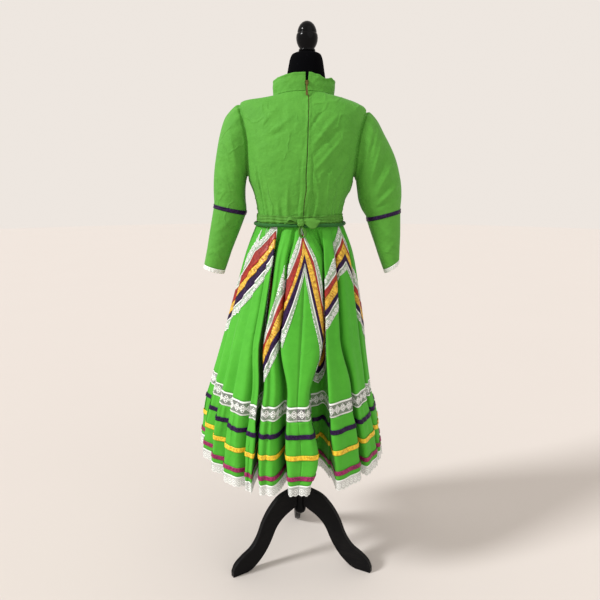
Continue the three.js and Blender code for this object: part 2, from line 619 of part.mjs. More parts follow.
/** The tab: an eye round the pin and a tongue with a narrow waist, lying down the slope of the back. */
function addTab(pin) {
  const half = PIN.long / 2 - PIN.lug - TAB.gap;
  const eye = new THREE.Shape();
  eye.absarc(0, 0, TAB.eyeOuter, 0, 2 * Math.PI, false);
  const hole = new THREE.Path();
  hole.absarc(0, 0, TAB.eyeInner, 0, 2 * Math.PI, true);
  eye.holes.push(hole);
  const ringPart = new THREE.ExtrudeGeometry(eye, { depth: 2 * half, bevelEnabled: false, curveSegments: 5 });
  ringPart.rotateY(Math.PI / 2).translate(-half, 0, 0);
  const tongue = new THREE.Shape();
  const end = -TAB.long + TAB.wide / 2;
  const root = -TAB.eyeOuter + TONGUE.rootUp;
  tongue.moveTo(-half + TONGUE.rootIn, root);
  tongue.lineTo(-TAB.waist / 2, -TONGUE.waistAt);
  tongue.lineTo(-TAB.wide / 2, end + TONGUE.flare);
  tongue.absarc(0, end, TAB.wide / 2, Math.PI, 2 * Math.PI, false);
  tongue.lineTo(TAB.wide / 2, end + TONGUE.flare);
  tongue.lineTo(TAB.waist / 2, -TONGUE.waistAt);
  tongue.lineTo(half - TONGUE.rootIn, root);
  const plate = new THREE.ExtrudeGeometry(tongue, { depth: TAB.thick, bevelEnabled: false, curveSegments: 6 });
  plate.rotateX(Math.PI / 2).translate(0, TAB.thick / 2, 0);
  const solid = solidOf(ringPart).add(solidOf(plate));
  const tab = addMesh("zip_tab", geometryOfSolid(solid), BRASS, 0.35, 0.8);
  tab.position.set(pin.x, pin.y, PIN.z);
  tab.rotation.x = -rad(TAB.tilt);
}

// Sleeves

/** A point on a sleeve: angle 0 at its inner edge, through the back to the outer edge at 180 degrees. */
function sleevePoint(table, angle, row) {
  const i = THREE.MathUtils.clamp(Math.floor(row), 0, table.length - 2);
  const s = blend(table[i], table[i + 1], row - i);
  const towards = Math.cos(angle);
  return new THREE.Vector3(
    (s.outX + s.inX) / 2 + (towards * (s.inX - s.outX)) / 2,
    s.y - Math.sin(angle) * s.deep,
    (s.outZ + s.inZ) / 2 + (towards * (s.inZ - s.outZ)) / 2,
  );
}

/** Grid of a sleeve's outer face, rows from the cuff up, columns running with the body's angle. */
function sleeveGrid(table, rows, left) {
  const sign = left ? -1 : 1;
  const angles = Array.from({ length: SLEEVE_COLUMNS }, (_, c) => (sign * 2 * Math.PI * c) / SLEEVE_COLUMNS);
  const surface = (angle, row) => sleevePoint(table, angle, row);
  const points = rows.map((row) => angles.map((angle) => surface(angle, row)));
  const normals = rows.map((row) => angles.map((angle) => {
    const n = normalOf(surface, angle, row, 0.2, 0.3);
    return left ? n : n.negate();
  }));
  return { points, normals };
}

function addSleeve(side, table) {
  const left = side === "left";
  const rows = table.map((_, i) => i).reverse();
  const { points, normals } = sleeveGrid(table, rows, left);
  const tube = solidOf(wall(points, normals, -CLOTH, 0, true));
  addMesh("sleeve_" + side, geometryOfSolid(tube.subtract(bodiceSpace(SEAM))), GREEN);
  const band = sleeveGrid(table, [...SLEEVE_RIBBON_ROWS].reverse(), left);
  const [under, over] = band.points.map((line, r) => ({ points: line, normals: band.normals[r] }));
  addMesh("sleeve_ribbon_" + side, trimOn(under, over), PURPLE, 0.4);
  const cuff = sleeveGrid(table, [table.length - 1], left);
  const last = table[table.length - 1];
  const before = table[table.length - 2];
  const run = new THREE.Vector3(
    last.outX + last.inX - before.outX - before.inX,
    2 * (last.y - before.y),
    last.outZ + last.inZ - before.outZ - before.inZ,
  ).normalize();
  const top = cuff.points[0].map((p) => p.clone().addScaledVector(run, SEAM));
  const bottom = top.map((p) => p.clone().addScaledVector(run, CUFF_LACE));
  const flat = [cuff.normals[0], cuff.normals[0]];
  addMesh("cuff_lace_" + side, wall([bottom, top], flat, -CLOTH, 0, true), LACE_WHITE);
  const hole = offsetGrid(points, normals, -CLOTH - ARMHOLE_LEDGE);
  return solidOf(filled(hole));
}

// Front flounce

function addFrontFlounce() {
  const { from, to, columns, topZ, midZ, edgeZ, laceZ } = FRONT_FLOUNCE;
  const surface = (angle, z) => {
    const row = rowIndexAt(z);
    const p = bodicePoint(angle, row);
    return p.setZ(z);
  };
  const angles = fan(from, to, columns);
  const line = (z, flare, wave) => angles.map((angle, c) => {
    const out = new THREE.Vector3(-Math.cos(angle), -Math.sin(angle), 0);
    return surface(angle, z).addScaledVector(out, flare + (c % 2 === 0 ? wave : -wave) + CLOTH);
  });
  const outward = (rows) => rows.map((points) => points.map((_, c) => (
    new THREE.Vector3(-Math.cos(angles[c]), -Math.sin(angles[c]), 0))));
  const { top, mid, edge, lace, wave } = FRONT_FLARE;
  const cloth = [line(edgeZ, edge, wave), line(midZ, mid, wave), line(topZ, top, 0)];
  addMesh("front_flounce", wall(cloth, outward(cloth), -CLOTH, 0, false), GREEN);
  const trim = [line(laceZ, lace, wave), line(edgeZ - SEAM, edge, wave)];
  addMesh("front_flounce_lace", wall(trim, outward(trim), -CLOTH, 0, false), LACE_WHITE);
}

/** Row of the bodice table at a height on its side. */
function rowIndexAt(z) {
  const i = BODICE_RINGS.findIndex((ring) => ring.side > z) - 1;
  return i + (z - BODICE_RINGS[i].side) / (BODICE_RINGS[i + 1].side - BODICE_RINGS[i].side);
}

// Belt and bow

function addBelt() {
  const { points, normals } = ringGrid(bodicePoint, [rowIndexAt(BELT_BOTTOM_Z), BELT_TOP_ROW], wholeRound);
  addMesh("belt", wall(points, normals, LAID_ON, LAID_ON + CLOTH, true), GREEN);
  const x0 = KNOT.x - KNOT.wide / 2 - SEAM;
  const x1 = KNOT.x + KNOT.wide / 2 + SEAM;
  const round = fan(90, 450, BELT_CORD_STEPS).map((angle, i, all) => {
    const row = rowAt(SKIRT_OUTLINE, "z", BELT_CORD_Z);
    const p = sectionPoint(row, angle, BODICE_SQUARE, 1, BELT_CORD_Z);
    const across = (row.right - row.left) / (row.front - row.back);
    const out = new THREE.Vector3(p.x / across ** 2, p.y, 0).normalize();
    p.addScaledVector(out, LAID_ON + BELT_CORD_R + BELT_CORD_OUT);
    if (i === 0) p.setX(x1);
    if (i === all.length - 1) p.setX(x0);
    return p;
  });
  addMesh("belt_cord", tubeThrough(round, BELT_CORD_R, BELT_CORD_SIDES), DEEP_GREEN);
}

/** A level tube through points, its end faces square to X. */
function tubeThrough(points, radius, sides) {
  const rings = points.map((p, i) => {
    const before = points[Math.max(0, i - 1)];
    const after = points[Math.min(points.length - 1, i + 1)];
    const ends = i === 0 || i === points.length - 1;
    const run = ends ? new THREE.Vector3(1, 0, 0) : after.clone().sub(before).normalize();
    const side = new THREE.Vector3(0, 0, 1).cross(run).normalize();
    return Array.from({ length: sides }, (_, s) => {
      const turn = (2 * Math.PI * (s + 0.5)) / sides;
      const rise = new THREE.Vector3(0, 0, radius * Math.sin(turn));
      return p.clone().addScaledVector(side, radius * Math.cos(turn)).add(rise);
    });
  });
  return filled(rings);
}

/** A flat piece of doubled cloth from an outline in x and z, with its depth along Y, leaning out below a height. */
function flatPiece(outline, eye, y, deep, slope = 0, from = 0) {
  const shape = new THREE.Shape(outline.map(([x, z]) => new THREE.Vector2(x, z)));
  if (eye.length) shape.holes.push(new THREE.Path(eye.map(([x, z]) => new THREE.Vector2(x, z))));
  const geometry = new THREE.ExtrudeGeometry(shape, { depth: deep, bevelEnabled: false });
  geometry.rotateX(Math.PI / 2).translate(0, y + deep / 2, 0);
  const place = geometry.attributes.position;
  for (let i = 0; i < place.count; i += 1) place.setY(i, place.getY(i) - slope * Math.max(0, from - place.getZ(i)));
  return geometry;
}

function addBow() {
  const { x, y, z, wide, deep, high } = KNOT;
  const left = x - wide / 2 - SEAM;
  const right = x + wide / 2 + SEAM;
  const base = z - high / 2 - SEAM;
  const knot = new THREE.SphereGeometry(0.5, 10, 7).rotateX(Math.PI / 2);
  const place = knot.attributes.position;
  const soft = (v) => Math.sign(v) * Math.abs(2 * v) ** KNOT_SQUARE;
  for (let i = 0; i < place.count; i += 1) {
    place.setXYZ(
      i,
      x + (soft(place.getX(i)) * wide) / 2,
      y + (soft(place.getY(i)) * deep) / 2,
      z + (soft(place.getZ(i)) * high) / 2,
    );
  }
  knot.deleteAttribute("normal");
  addMesh("bow_knot", knot, GREEN);
  const loop = [[left, 1085], [left, 1095], [-16, 1103], [-28, 1104], [-36, 1098], [-35, 1089], [-24, 1085], [-14, 1086]];
  const loopEye = [[-14, 1092], [-18, 1097], [-27, 1098], [-30, 1094], [-22, 1091]];
  addMesh("bow_loop_left", flatPiece(loop, loopEye, BOW_LOOP_Y, 9), GREEN);
  const tail = [[right, 1084], [20, 1078], [30, 1066], [42, 1069], [58, 1093], [36, 1095], [24, 1099], [right, 1094]];
  addMesh("bow_tail_right", flatPiece(tail, [], BOW_TAIL_Y, 5, 0.25, BELT_CORD_Z), GREEN);
  const hang = [[-4, base], [-5, 1062], [-1, 1050], [8, 1043], [17, 1048], [19, 1060], [10, base]];
  const hangEye = [[2, 1068], [8, 1067], [13, 1058], [9, 1051], [3, 1054], [0, 1062]];
  addMesh("bow_loop_hanging", flatPiece(hang, hangEye, BOW_HANG_Y, 7, 0.3, base), GREEN);
}

// Dress form and stand

function addForm() {
  const section = (row) => wholeRound.map((angle) => sectionPoint(row, angle, 2.2, 1, row.z));
  const seat = offsetGrid(bodiceShell.points, bodiceShell.normals, -CLOTH - SEAT_GAP);
  const rings = [
    ...TORSO_LOW.map(section),
    ...TORSO_SEAT_RINGS.map((i) => seat[i]),
    ...TORSO_NECK.map(section),
  ];
  addMesh("form_torso", filled(rings), BLACK, 0.8);
  const finial = new THREE.LatheGeometry(FINIAL_PROFILE.map(([r, z]) => new THREE.Vector2(r, z)), 14);
  finial.rotateX(Math.PI / 2).translate(FINIAL_X, 0, 0);
  addMesh("finial", finial, BLACK, 0.15);
}

function addStand() {
  const long = POLE_TOP_Z - HUB_TOP_Z - 2 * SEAM;
  const pole = new THREE.CylinderGeometry(POLE_R, POLE_R, long, 20).rotateX(Math.PI / 2);
  const mesh = addMesh("pole", pole, BLACK, 0.3, 0.4);
  const middle = (POLE_TOP_Z + HUB_TOP_Z) / 2;
  mesh.rotation.y = LEAN;
  mesh.position.set(LEAN * (middle - HUB_TOP_Z), 0, middle);
  const hub = new THREE.LatheGeometry(HUB_PROFILE.map(([r, z]) => new THREE.Vector2(r, z)), 16).rotateX(Math.PI / 2);
  addMesh("hub", hub, BLACK, 0.3, 0.4);
  const smooth = (points, steps) => (
    new THREE.SplineCurve(points.map(([r, z]) => new THREE.Vector2(r, z))).getPoints(steps));
  const heel = new THREE.Vector2(...LEG_UPPER[LEG_UPPER.length - 1]);
  const outline = [...smooth(LEG_UPPER.slice(0, -1), 13), heel, ...smooth(LEG_LOWER, 11)];
  for (const { name, turn } of LEG_TURNS) {
    const board = new THREE.ExtrudeGeometry(new THREE.Shape(outline), { depth: LEG_THICK, bevelEnabled: false });
    board.rotateX(Math.PI / 2).translate(0, LEG_THICK / 2, 0);
    addMesh(name, board, BLACK, 0.35).rotation.z = rad(turn);
  }
}

addForm();
addStand();
const armholes = [addSleeve("left", SLEEVE_LEFT), addSleeve("right", SLEEVE_RIGHT)];
addBodice(armholes);
addFrontFlounce();
addCollar();
addZip();
addTab(addSlider());
addSkirt();
addBelt();
addBow();

export default dress;
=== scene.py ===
"""The looks of a folklorico dress on its dress form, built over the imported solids. Metres, +Z up.

Tables are in millimetres, as a maker reads them. Angles round the body start at -X, pass the centre
back at 90 degrees and +X at 180. A place on the skirt is its fold, counted round the waist from the
left side, and the level at which it hangs at the centre back.
"""

import json
import logging
import math
from bisect import bisect_right
from dataclasses import dataclass
from enum import Enum
from typing import Callable, Sequence

import bmesh
import bpy
from mathutils import Matrix, Vector, noise
from mathutils.bvhtree import BVHTree

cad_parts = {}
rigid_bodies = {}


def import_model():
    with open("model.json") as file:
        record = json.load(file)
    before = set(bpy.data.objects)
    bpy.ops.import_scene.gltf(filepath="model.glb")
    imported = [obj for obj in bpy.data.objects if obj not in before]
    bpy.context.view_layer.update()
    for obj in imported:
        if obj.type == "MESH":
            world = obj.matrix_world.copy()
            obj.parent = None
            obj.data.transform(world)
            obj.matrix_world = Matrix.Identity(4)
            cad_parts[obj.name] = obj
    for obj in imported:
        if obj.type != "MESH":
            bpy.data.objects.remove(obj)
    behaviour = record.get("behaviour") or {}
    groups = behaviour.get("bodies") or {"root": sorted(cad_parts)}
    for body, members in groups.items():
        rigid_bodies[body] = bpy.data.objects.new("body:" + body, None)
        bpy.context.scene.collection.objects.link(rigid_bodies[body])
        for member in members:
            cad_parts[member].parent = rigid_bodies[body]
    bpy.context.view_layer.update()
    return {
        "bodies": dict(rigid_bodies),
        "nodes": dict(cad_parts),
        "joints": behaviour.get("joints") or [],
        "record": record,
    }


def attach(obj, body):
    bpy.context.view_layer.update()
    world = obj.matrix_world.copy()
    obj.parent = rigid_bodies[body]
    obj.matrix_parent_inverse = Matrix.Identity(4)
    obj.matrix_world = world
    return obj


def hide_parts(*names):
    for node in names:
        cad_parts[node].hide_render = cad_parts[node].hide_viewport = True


MM = 0.001
GARMENT = "garment"
TRIM_THICK = 0.0008  # thickness of ribbons and laces, in metres
LEAST_SHARE = 0.301  # least share of its flat rectangle that a slanting strip is taken to fill
FLAT_MARGIN = 1.002  # how far a cloth's flat rectangle passes its area at least
MERGE = 1e-6  # distance under which two points are one, in metres
CLOSE = 1e-5  # the same where a cloth meets itself
SEAM_DEEP = 0.0042  # how deep cloth is drawn in at an armhole's seam, in metres
SEAM_WIDE = 0.007  # how far from the seam that reaches, in metres
Surface = Callable[[float, float], Vector]
log = logging.getLogger("dress")


# Numbers and shapes


def lerp(a: float, b: float, t: float) -> float:
    """The value between two others at a share of the way."""
    return a + (b - a) * t


def clamp(value: float, low: float = 0.0, high: float = 1.0) -> float:
    """A value kept between two limits."""
    return min(max(value, low), high)


def smooth(low: float, high: float, value: float) -> float:
    """A soft step from 0 at one value to 1 at another."""
    t = clamp((value - low) / (high - low))
    return t * t * (3 - 2 * t)


def bump(value: float, centre: float, wide: float) -> float:
    """A soft hill of height 1 round a centre."""
    return math.exp(-(((value - centre) / wide) ** 2))


class Profile:
    """Rows of numbers, read on smooth curves between them by their first column."""

    def __init__(self, rows: Sequence[Sequence[float]]) -> None:
        """Sorts the rows and finds the slope of every column at every row.

        Args:
            rows: rows of numbers whose first column is the key.
        """
        self.rows = sorted(list(row) for row in rows)
        self.keys = [row[0] for row in self.rows]
        last = len(self.rows) - 1
        self.slopes = []
        for i in range(last + 1):
            a, b = self.rows[max(0, i - 1)], self.rows[min(last, i + 1)]
            self.slopes.append([(y - x) / (b[0] - a[0]) for x, y in zip(a, b)])

    def at(self, key: float) -> list[float]:
        """The row at a value of the first column, held at both ends of the table.

        Args:
            key: a value of the first column.

        Returns:
            The whole row there, its key first.
        """
        i = min(max(bisect_right(self.keys, key) - 1, 0), len(self.keys) - 2)
        span = self.keys[i + 1] - self.keys[i]
        t = clamp((key - self.keys[i]) / span)
        a, b = 2 * t**3 - 3 * t**2 + 1, t**3 - 2 * t**2 + t
        c, d = 1 - a, t**3 - t**2
        rows, slopes = self.rows, self.slopes
        return [
            a * p + c * q + span * (b * m + d * n)
            for p, q, m, n in zip(rows[i], rows[i + 1], slopes[i], slopes[i + 1])
        ]


def section(ring: Sequence[float], angle: float, square: float, share: float = 1.0) -> tuple[float, float]:
    """A point of a rounded section of the body.

    Args:
        ring: left, right, back and front reach, in millimetres.
        angle: angle round the body, in radians.
        square: exponent of the section, 2 for an ellipse.
        share: share of the radius.

    Returns:
        x and y, in millimetres.
    """
    left, right, back, front = ring
    c, s = -math.cos(angle), -math.sin(angle)
    x = math.copysign(abs(c) ** (2 / square), c)
    y = math.copysign(abs(s) ** (2 / square), s)
    return (left + right) / 2 + x * share * (right - left) / 2, (back + front) / 2 + y * share * (front - back) / 2


def normal(surface: Surface, u: float, v: float, du: float, dv: float) -> Vector:
    """The unit normal of a surface at a place, from small steps both ways.

    Args:
        surface: the surface.
        u: its first parameter.
        v: its second parameter.
        du: the step along the first.
        dv: the step along the second.

    Returns:
        The unit normal.
    """
    along = surface(u + du, v) - surface(u - du, v)
    up = surface(u, v + dv) - surface(u, v - dv)
    return along.cross(up).normalized()


def lifted(surface: Surface, height: Callable[[float, float], float], du: float, dv: float) -> Surface:
    """A surface moved out along its normals by a height in metres for each place.

    Args:
        surface: the surface.
        height: the height in metres at a place.
        du: the step along the first parameter.
        dv: the step along the second.

    Returns:
        The surface that is moved out.
    """

    def place(u: float, v: float) -> Vector:
        """A point of the surface that is moved out."""
        return surface(u, v) + normal(surface, u, v, du, dv) * height(u, v)

    return place


def wrinkle(x: float, y: float, z: float) -> float:
    """Smooth noise between about -1 and 1 at a place given in any unit."""
    return noise.noise(Vector((x, y, z)))


@dataclass(frozen=True)
class Crease:
    """A soft line raised from a cloth, or pressed in where deep is negative, from one place to another."""

    start: tuple[float, float]
    end: tuple[float, float]
    wide: float
    deep: float

    def at(self, a: float, b: float) -> float:
        """Height of the crease at a place, in the unit of deep.

        Args:
            a: the place's first measure.
            b: the place's second measure.

        Returns:
            The height.
        """
        ax, ay = self.start
        dx, dy = self.end[0] - ax, self.end[1] - ay
        t = ((a - ax) * dx + (b - ay) * dy) / (dx * dx + dy * dy)
        near = clamp(t)
        away = math.hypot(a - ax - dx * near, b - ay - dy * near)
        return self.deep * math.exp(-((away / self.wide) ** 2)) * math.sin(math.pi * clamp(0.12 + 0.76 * near))


# Materials


class Value:
    """A number's socket that takes part in sums, each of which adds its Math node."""

    def __init__(self, nodes: "Nodes", socket: bpy.types.NodeSocket) -> None:
        """Keeps the socket and the material's nodes."""
        self.nodes = nodes
        self.socket = socket

    def op(self, operation: str, *others: "Value | float") -> "Value":
        """The result of a Math node on this value and others."""
        return self.nodes.math(operation, self, *others)

    def __add__(self, other: "Value | float") -> "Value":
        """Sum."""
        return self.op("ADD", other)

    __radd__ = __add__

    def __mul__(self, other: "Value | float") -> "Value":
        """Product."""
        return self.op("MULTIPLY", other)

    __rmul__ = __mul__

    def __sub__(self, other: "Value | float") -> "Value":
        """Difference."""
        return self.op("SUBTRACT", other)

    def __rsub__(self, other: float) -> "Value":
        """Difference from a number."""
        return self.nodes.math("SUBTRACT", other, self)

    def __truediv__(self, other: "Value | float") -> "Value":
        """Quotient."""
        return self.op("DIVIDE", other)

    def soft(self, low: float, high: float) -> "Value":
        """A soft step from 0 at one value to 1 at another.

        Args:
            low: the value where the step starts.
            high: the value where it ends.

        Returns:
            The step.
        """
        settings = {"interpolation_type": "SMOOTHSTEP"}
        inputs = {"Value": self, "From Min": low, "From Max": high, "To Min": 0.0, "To Max": 1.0}
        return self.nodes.add("ShaderNodeMapRange", settings, inputs)["Result"]

    def near(self, centre: "Value | float", half: float) -> "Value":
        """1 within a half width of a centre, falling softly to 0."""
        return 1 - (self - centre).op("ABSOLUTE").soft(half * 0.6, half * 1.4)


class Outputs:
    """The outputs of a node, by name, as values."""

    def __init__(self, nodes: "Nodes", node: bpy.types.Node) -> None:
        """Keeps the node."""
        self.nodes = nodes
        self.node = node

    def __getitem__(self, name: str) -> Value:
        """The enabled output of that name."""
        found = [s for s in self.node.outputs if s.name == name and s.enabled]
        return Value(self.nodes, found[0])


class Nodes:
    """The node tree of one material, with its Principled shader."""

    def __init__(self, name: str) -> None:
        """Starts an empty material.

        Args:
            name: the material's name.
        """
        self.material = bpy.data.materials.new(name)
        self.material.use_nodes = True
        self.tree = self.material.node_tree
        self.tree.nodes.clear()
        self.output = self.tree.nodes.new("ShaderNodeOutputMaterial")

    def add(self, kind: str, settings: dict | None = None, inputs: dict | None = None) -> Outputs:
        """Adds a node.

        Args:
            kind: the node's type.
            settings: its properties, which are set first.
            inputs: value or link for each socket, by name or number.

        Returns:
            The node's outputs.
        """
        node = self.tree.nodes.new(kind)
        for key, value in (settings or {}).items():
            setattr(node, key, value)
        for key, value in (inputs or {}).items():
            if isinstance(key, int):
                socket = node.inputs[key]
            else:
                socket = [s for s in node.inputs if s.name == key and s.enabled][0]
            if isinstance(value, Value):
                self.tree.links.new(value.socket, socket)
            else:
                socket.default_value = value
        return Outputs(self, node)

    def math(self, operation: str, *values: Value | float) -> Value:
        """The result of a Math node."""
        return self.add("ShaderNodeMath", {"operation": operation}, dict(enumerate(values)))["Value"]

    def mix(self, share: Value, low: "Value | Sequence[float]", high: "Value | Sequence[float]") -> Value:
        """A colour between two colours.

        Args:
            share: the share of the second colour.
            low: the first colour.
            high: the second colour.

        Returns:
            The colour.
        """
        colours = [c if isinstance(c, Value) else (*c, 1.0) for c in (low, high)]
        inputs = {"Factor": share, "A": colours[0], "B": colours[1]}
        return self.add("ShaderNodeMix", {"data_type": "RGBA"}, inputs)["Result"]

    def noise(
        self, scale: float, detail: float = 2.0, where: Value | None = None, stretch: Sequence[float] = (1, 1, 1),
    ) -> Value:
        """Noise from 0 to 1 on Object coordinates, or on others that are given.

        Args:
            scale: how many grains a metre holds.
            detail: how fine the noise goes.
            where: the coordinates, or none for Object coordinates.
            stretch: the scale along each axis.

        Returns:
            The noise.
        """
        where = where or self.add("ShaderNodeTexCoord")["Object"]
        if tuple(stretch) != (1, 1, 1):
            where = self.add("ShaderNodeMapping", None, {"Vector": where, "Scale": tuple(stretch)})["Vector"]
        inputs = {"Vector": where, "Scale": scale, "Detail": detail}
        return self.add("ShaderNodeTexNoise", None, inputs)["Fac"]

    def cloth_place(self) -> tuple[Value, Value, Value]:
        """The place on the cloth in metres: the vector, along and across.

        Returns:
            The vector, the place along and the place across.
        """
        uv = self.add("ShaderNodeTexCoord")["UV"]
        parts = self.add("ShaderNodeSeparateXYZ", None, {"Vector": uv})
        return uv, parts["X"], parts["Y"]

    def raised(self, height: Value, distance: float, strength: float = 1.0, under: Value | None = None) -> Value:
        """A normal bumped by a height from 0 to 1, times a distance in metres.

        Args:
            height: the height.
            distance: what 1 stands for, in metres.
            strength: the strength of the bump.
            under: a normal that is bumped already.

        Returns:
            The normal.
        """
        inputs = {"Height": height, "Distance": distance, "Strength": strength}
        if under:
            inputs["Normal"] = under
        return self.add("ShaderNodeBump", None, inputs)["Normal"]

    def finish(self, **sockets: "Value | float | Sequence[float]") -> bpy.types.Material:
        """Ends the material with its shader, whose sockets are given with _ for a space.

        Args:
            sockets: a value, colour or link for each socket.

        Returns:
            The material.
        """
        inputs = {}
        for key, value in sockets.items():
            colour = isinstance(value, (tuple, list)) and len(value) == 3
            inputs[key.replace("_", " ")] = (*value, 1.0) if colour else value
        shader = self.add("ShaderNodeBsdfPrincipled", None, inputs)
        self.tree.links.new(shader["BSDF"].socket, self.output.inputs["Surface"])
        return self.material


Colour = tuple[float, float, float]


@dataclass(frozen=True)
class Poplin:
    """Cotton poplin: plain weave, a soft uneven tone and small creases."""

    name: str
    slot: str
    colour: Colour
    shade: Colour
    crease: float = 0.5

    def build(self) -> bpy.types.Material:
        """Makes the material.

        Returns:
            The material.
        """
        n = Nodes(self.name)
        uv, along, across = n.cloth_place()
        tone = n.noise(5.0, 3.0) * 0.6 + n.noise(45.0, 2.0) * 0.4
        threads = (along * 5200.0).op("SINE") * (across * 5200.0).op("SINE") * 0.5 + 0.5
        slub = n.noise(60.0, 2.0, uv, (1.0, 14.0, 1.0))
        colour = n.mix((tone * 0.75 + slub * 0.25).soft(0.3, 0.7), self.shade, self.colour)
        soft = n.noise(16.0, 4.0) * 0.7 + n.noise(70.0, 2.0) * 0.3
        fine = 1 - (n.noise(19.0, 1.5, None, (1.0, 1.0, 0.75)) - 0.5).op("ABSOLUTE").soft(0.0, 0.05)
        pressed = fine * n.noise(7.0, 1.0).soft(0.42, 0.6)
        creased = n.raised(soft + pressed * 0.22, 0.0045 * self.crease, 0.9)
        woven = n.raised(threads, 0.00006, 0.5, creased)
        return n.finish(
            Base_Color=colour, Roughness=slub * 0.12 + 0.66, Normal=woven,
            Sheen_Weight=0.05, Sheen_Roughness=0.5, Specular_IOR_Level=0.25,
        )


@dataclass(frozen=True)
class Satin:
    """Satin ribbon with woven edges; pucker is the height of its puckers in metres, lit the colour of painted
    highlights on their crests, glint the strength of painted glints on its woven glitter.
    """

    name: str
    slot: str
    colour: Colour
    lit: Colour
    wide: float
    pucker: float = 0.0
    glint: float = 0.0
    shine: float = 0.3

    def build(self) -> bpy.types.Material:
        """Makes the material.

        Returns:
            The material.
        """
        n = Nodes(self.name)
        uv, along, across = n.cloth_place()
        ribs = (along * 2600.0).op("SINE") * 0.5 + 0.5
        puckers = n.noise(150.0, 2.0, uv, (1.0, 0.45, 1.0))
        sparkle = n.noise(420.0, 1.0, uv, (0.5, 1.6, 1.0)).soft(0.5, 0.62)
        edge = (across - self.wide / 2).op("ABSOLUTE").soft(self.wide / 2 - 0.0022, self.wide / 2 - 0.0012)
        stitches = ((along * 340.0).op("FRACT").near(0.5, 0.3)) * (
            (across - self.wide / 2).op("ABSOLUTE").near(self.wide / 2 - 0.0028, 0.0006))
        # Painted highlight: the colour turns to lit where the puckers rise.
        tone = n.mix(puckers.soft(0.32, 0.68), self.colour, self.lit)
        # Painted glints: small specks turn much lighter than lit.
        tone = n.mix(sparkle * self.glint, tone, tuple(min(1.0, c * 2.2 + 0.12) for c in self.lit))
        tone = n.mix(edge * 0.35, tone, tuple(c * 0.6 for c in self.colour))
        tone = n.mix(stitches * 0.5, tone, tuple(min(1.0, c * 1.5 + 0.02) for c in self.lit))
        base = n.raised(puckers, max(self.pucker, 0.0004), 0.9)
        woven = n.raised(ribs + stitches * 2.0, 0.00008, 0.5, base)
        return n.finish(
            Base_Color=tone, Roughness=0.4 - sparkle * 0.12 + edge * 0.2, Normal=woven,
            Specular_IOR_Level=self.shine, Anisotropic=0.4,
        )


class LaceKind(Enum):
    """The patterns of lace on the dress."""

    EDGING = "edging"
    INSERTION = "insertion"
    HEM = "hem"


@dataclass(frozen=True)
class Lace:
    """Nylon lace on net; wide is its width in metres and pitch the length of one repeat of its pattern."""

    name: str
    slot: str
    kind: LaceKind
    wide: float
    pitch: float
    colour: Colour = (0.76, 0.78, 0.75)
    veil: float = 0.06

    def build(self) -> bpy.types.Material:
        """Makes the material, whose alpha leaves the holes of the net open.

        Returns:
            The material.
        """
        n = Nodes(self.name)
        _, along, across = n.cloth_place()
        repeat = (along / self.pitch).op("FRACT") - 0.5
        cx = repeat * self.pitch
        net = 0.0023
        rising = ((along + across) / net).op("FRACT").near(0.5, 0.11)
        falling = ((along - across) / net).op("FRACT").near(0.5, 0.11)
        ground = rising.op("MAXIMUM", falling)
        if self.kind is LaceKind.INSERTION:
            cy = across - self.wide / 2
            r = (cx * cx + cy * cy).op("SQRT")
            turn = cy.op("ARCTAN2", cx)
            petals = (turn * 6.0).op("COSINE") * 0.0018 + 0.0062
            flower = 1 - (r - petals).soft(-0.0004, 0.0006)
            eye = r.near(0.0022, 0.0008)
            frame = ((cx.op("ABSOLUTE") + cy.op("ABSOLUTE")).near(self.pitch * 0.52, 0.0011))
            solid = (flower * (1 - eye)).op("MAXIMUM", frame)
            border = (cy.op("ABSOLUTE")).soft(self.wide / 2 - 0.0044, self.wide / 2 - 0.0034)
            inside: Value | float = 1.0
        else:
            reach = (repeat * math.pi).op("COSINE")
            edge = reach * self.wide * 0.13 + self.wide * 0.86
            cy = across - self.wide * 0.52
            r = (cx * cx + cy * cy).op("SQRT")
            turn = cy.op("ARCTAN2", cx)
            outer = r.near(self.pitch * 0.36, 0.00085)
            petals = (turn * 5.0).op("COSINE") * 0.0008 + 0.0022
            flower = 1 - (r - petals).soft(-0.0003, 0.0004)
            rim = (across - edge).near(-0.0009, 0.0013)
            bars = (along / (self.pitch / 3)).op("FRACT").near(0.5, 0.2)
            hem_bars = bars * across.soft(self.wide * 0.7, self.wide * 0.74)
            solid = outer.op("MAXIMUM", flower).op("MAXIMUM", rim).op("MAXIMUM", hem_bars * 0.8)
            border = 1 - across.soft(0.0026, 0.0036)
            inside = 1 - (across - edge).soft(-0.0002, 0.0003)
        thread = solid.op("MAXIMUM", border)
        mesh = 0.4 if self.kind is LaceKind.INSERTION else 0.7
        alpha = thread.op("MAXIMUM", ground * mesh).op("MAXIMUM", self.veil) * inside
        tone = n.mix(thread, tuple(c * 0.8 for c in self.colour), self.colour)
        relief = n.raised(thread, 0.0004, 0.5)
        return n.finish(Base_Color=tone, Alpha=alpha, Roughness=0.7, Normal=relief, Specular_IOR_Level=0.2)


@dataclass(frozen=True)
class Knit:
    """Black knitted cover of the dress form."""

    name: str = "form_cover"
    slot: str = "form_cover"

    def build(self) -> bpy.types.Material:
        """Makes the material.

        Returns:
            The material.
        """
        n = Nodes(self.name)
        _, along, across = n.cloth_place()
        loops = (along * 3100.0).op("SINE") * (across * 2300.0).op("SINE") * 0.5 + 0.5
        lint = n.noise(160.0, 4.0).soft(0.62, 0.75)
        colour = n.mix(lint * 0.3, (0.0012, 0.0012, 0.0018), (0.012, 0.012, 0.014))
        return n.finish(
            Base_Color=colour, Roughness=0.9 - loops * 0.1, Normal=n.raised(loops, 0.00015, 0.5),
            Specular_IOR_Level=0.03,
        )


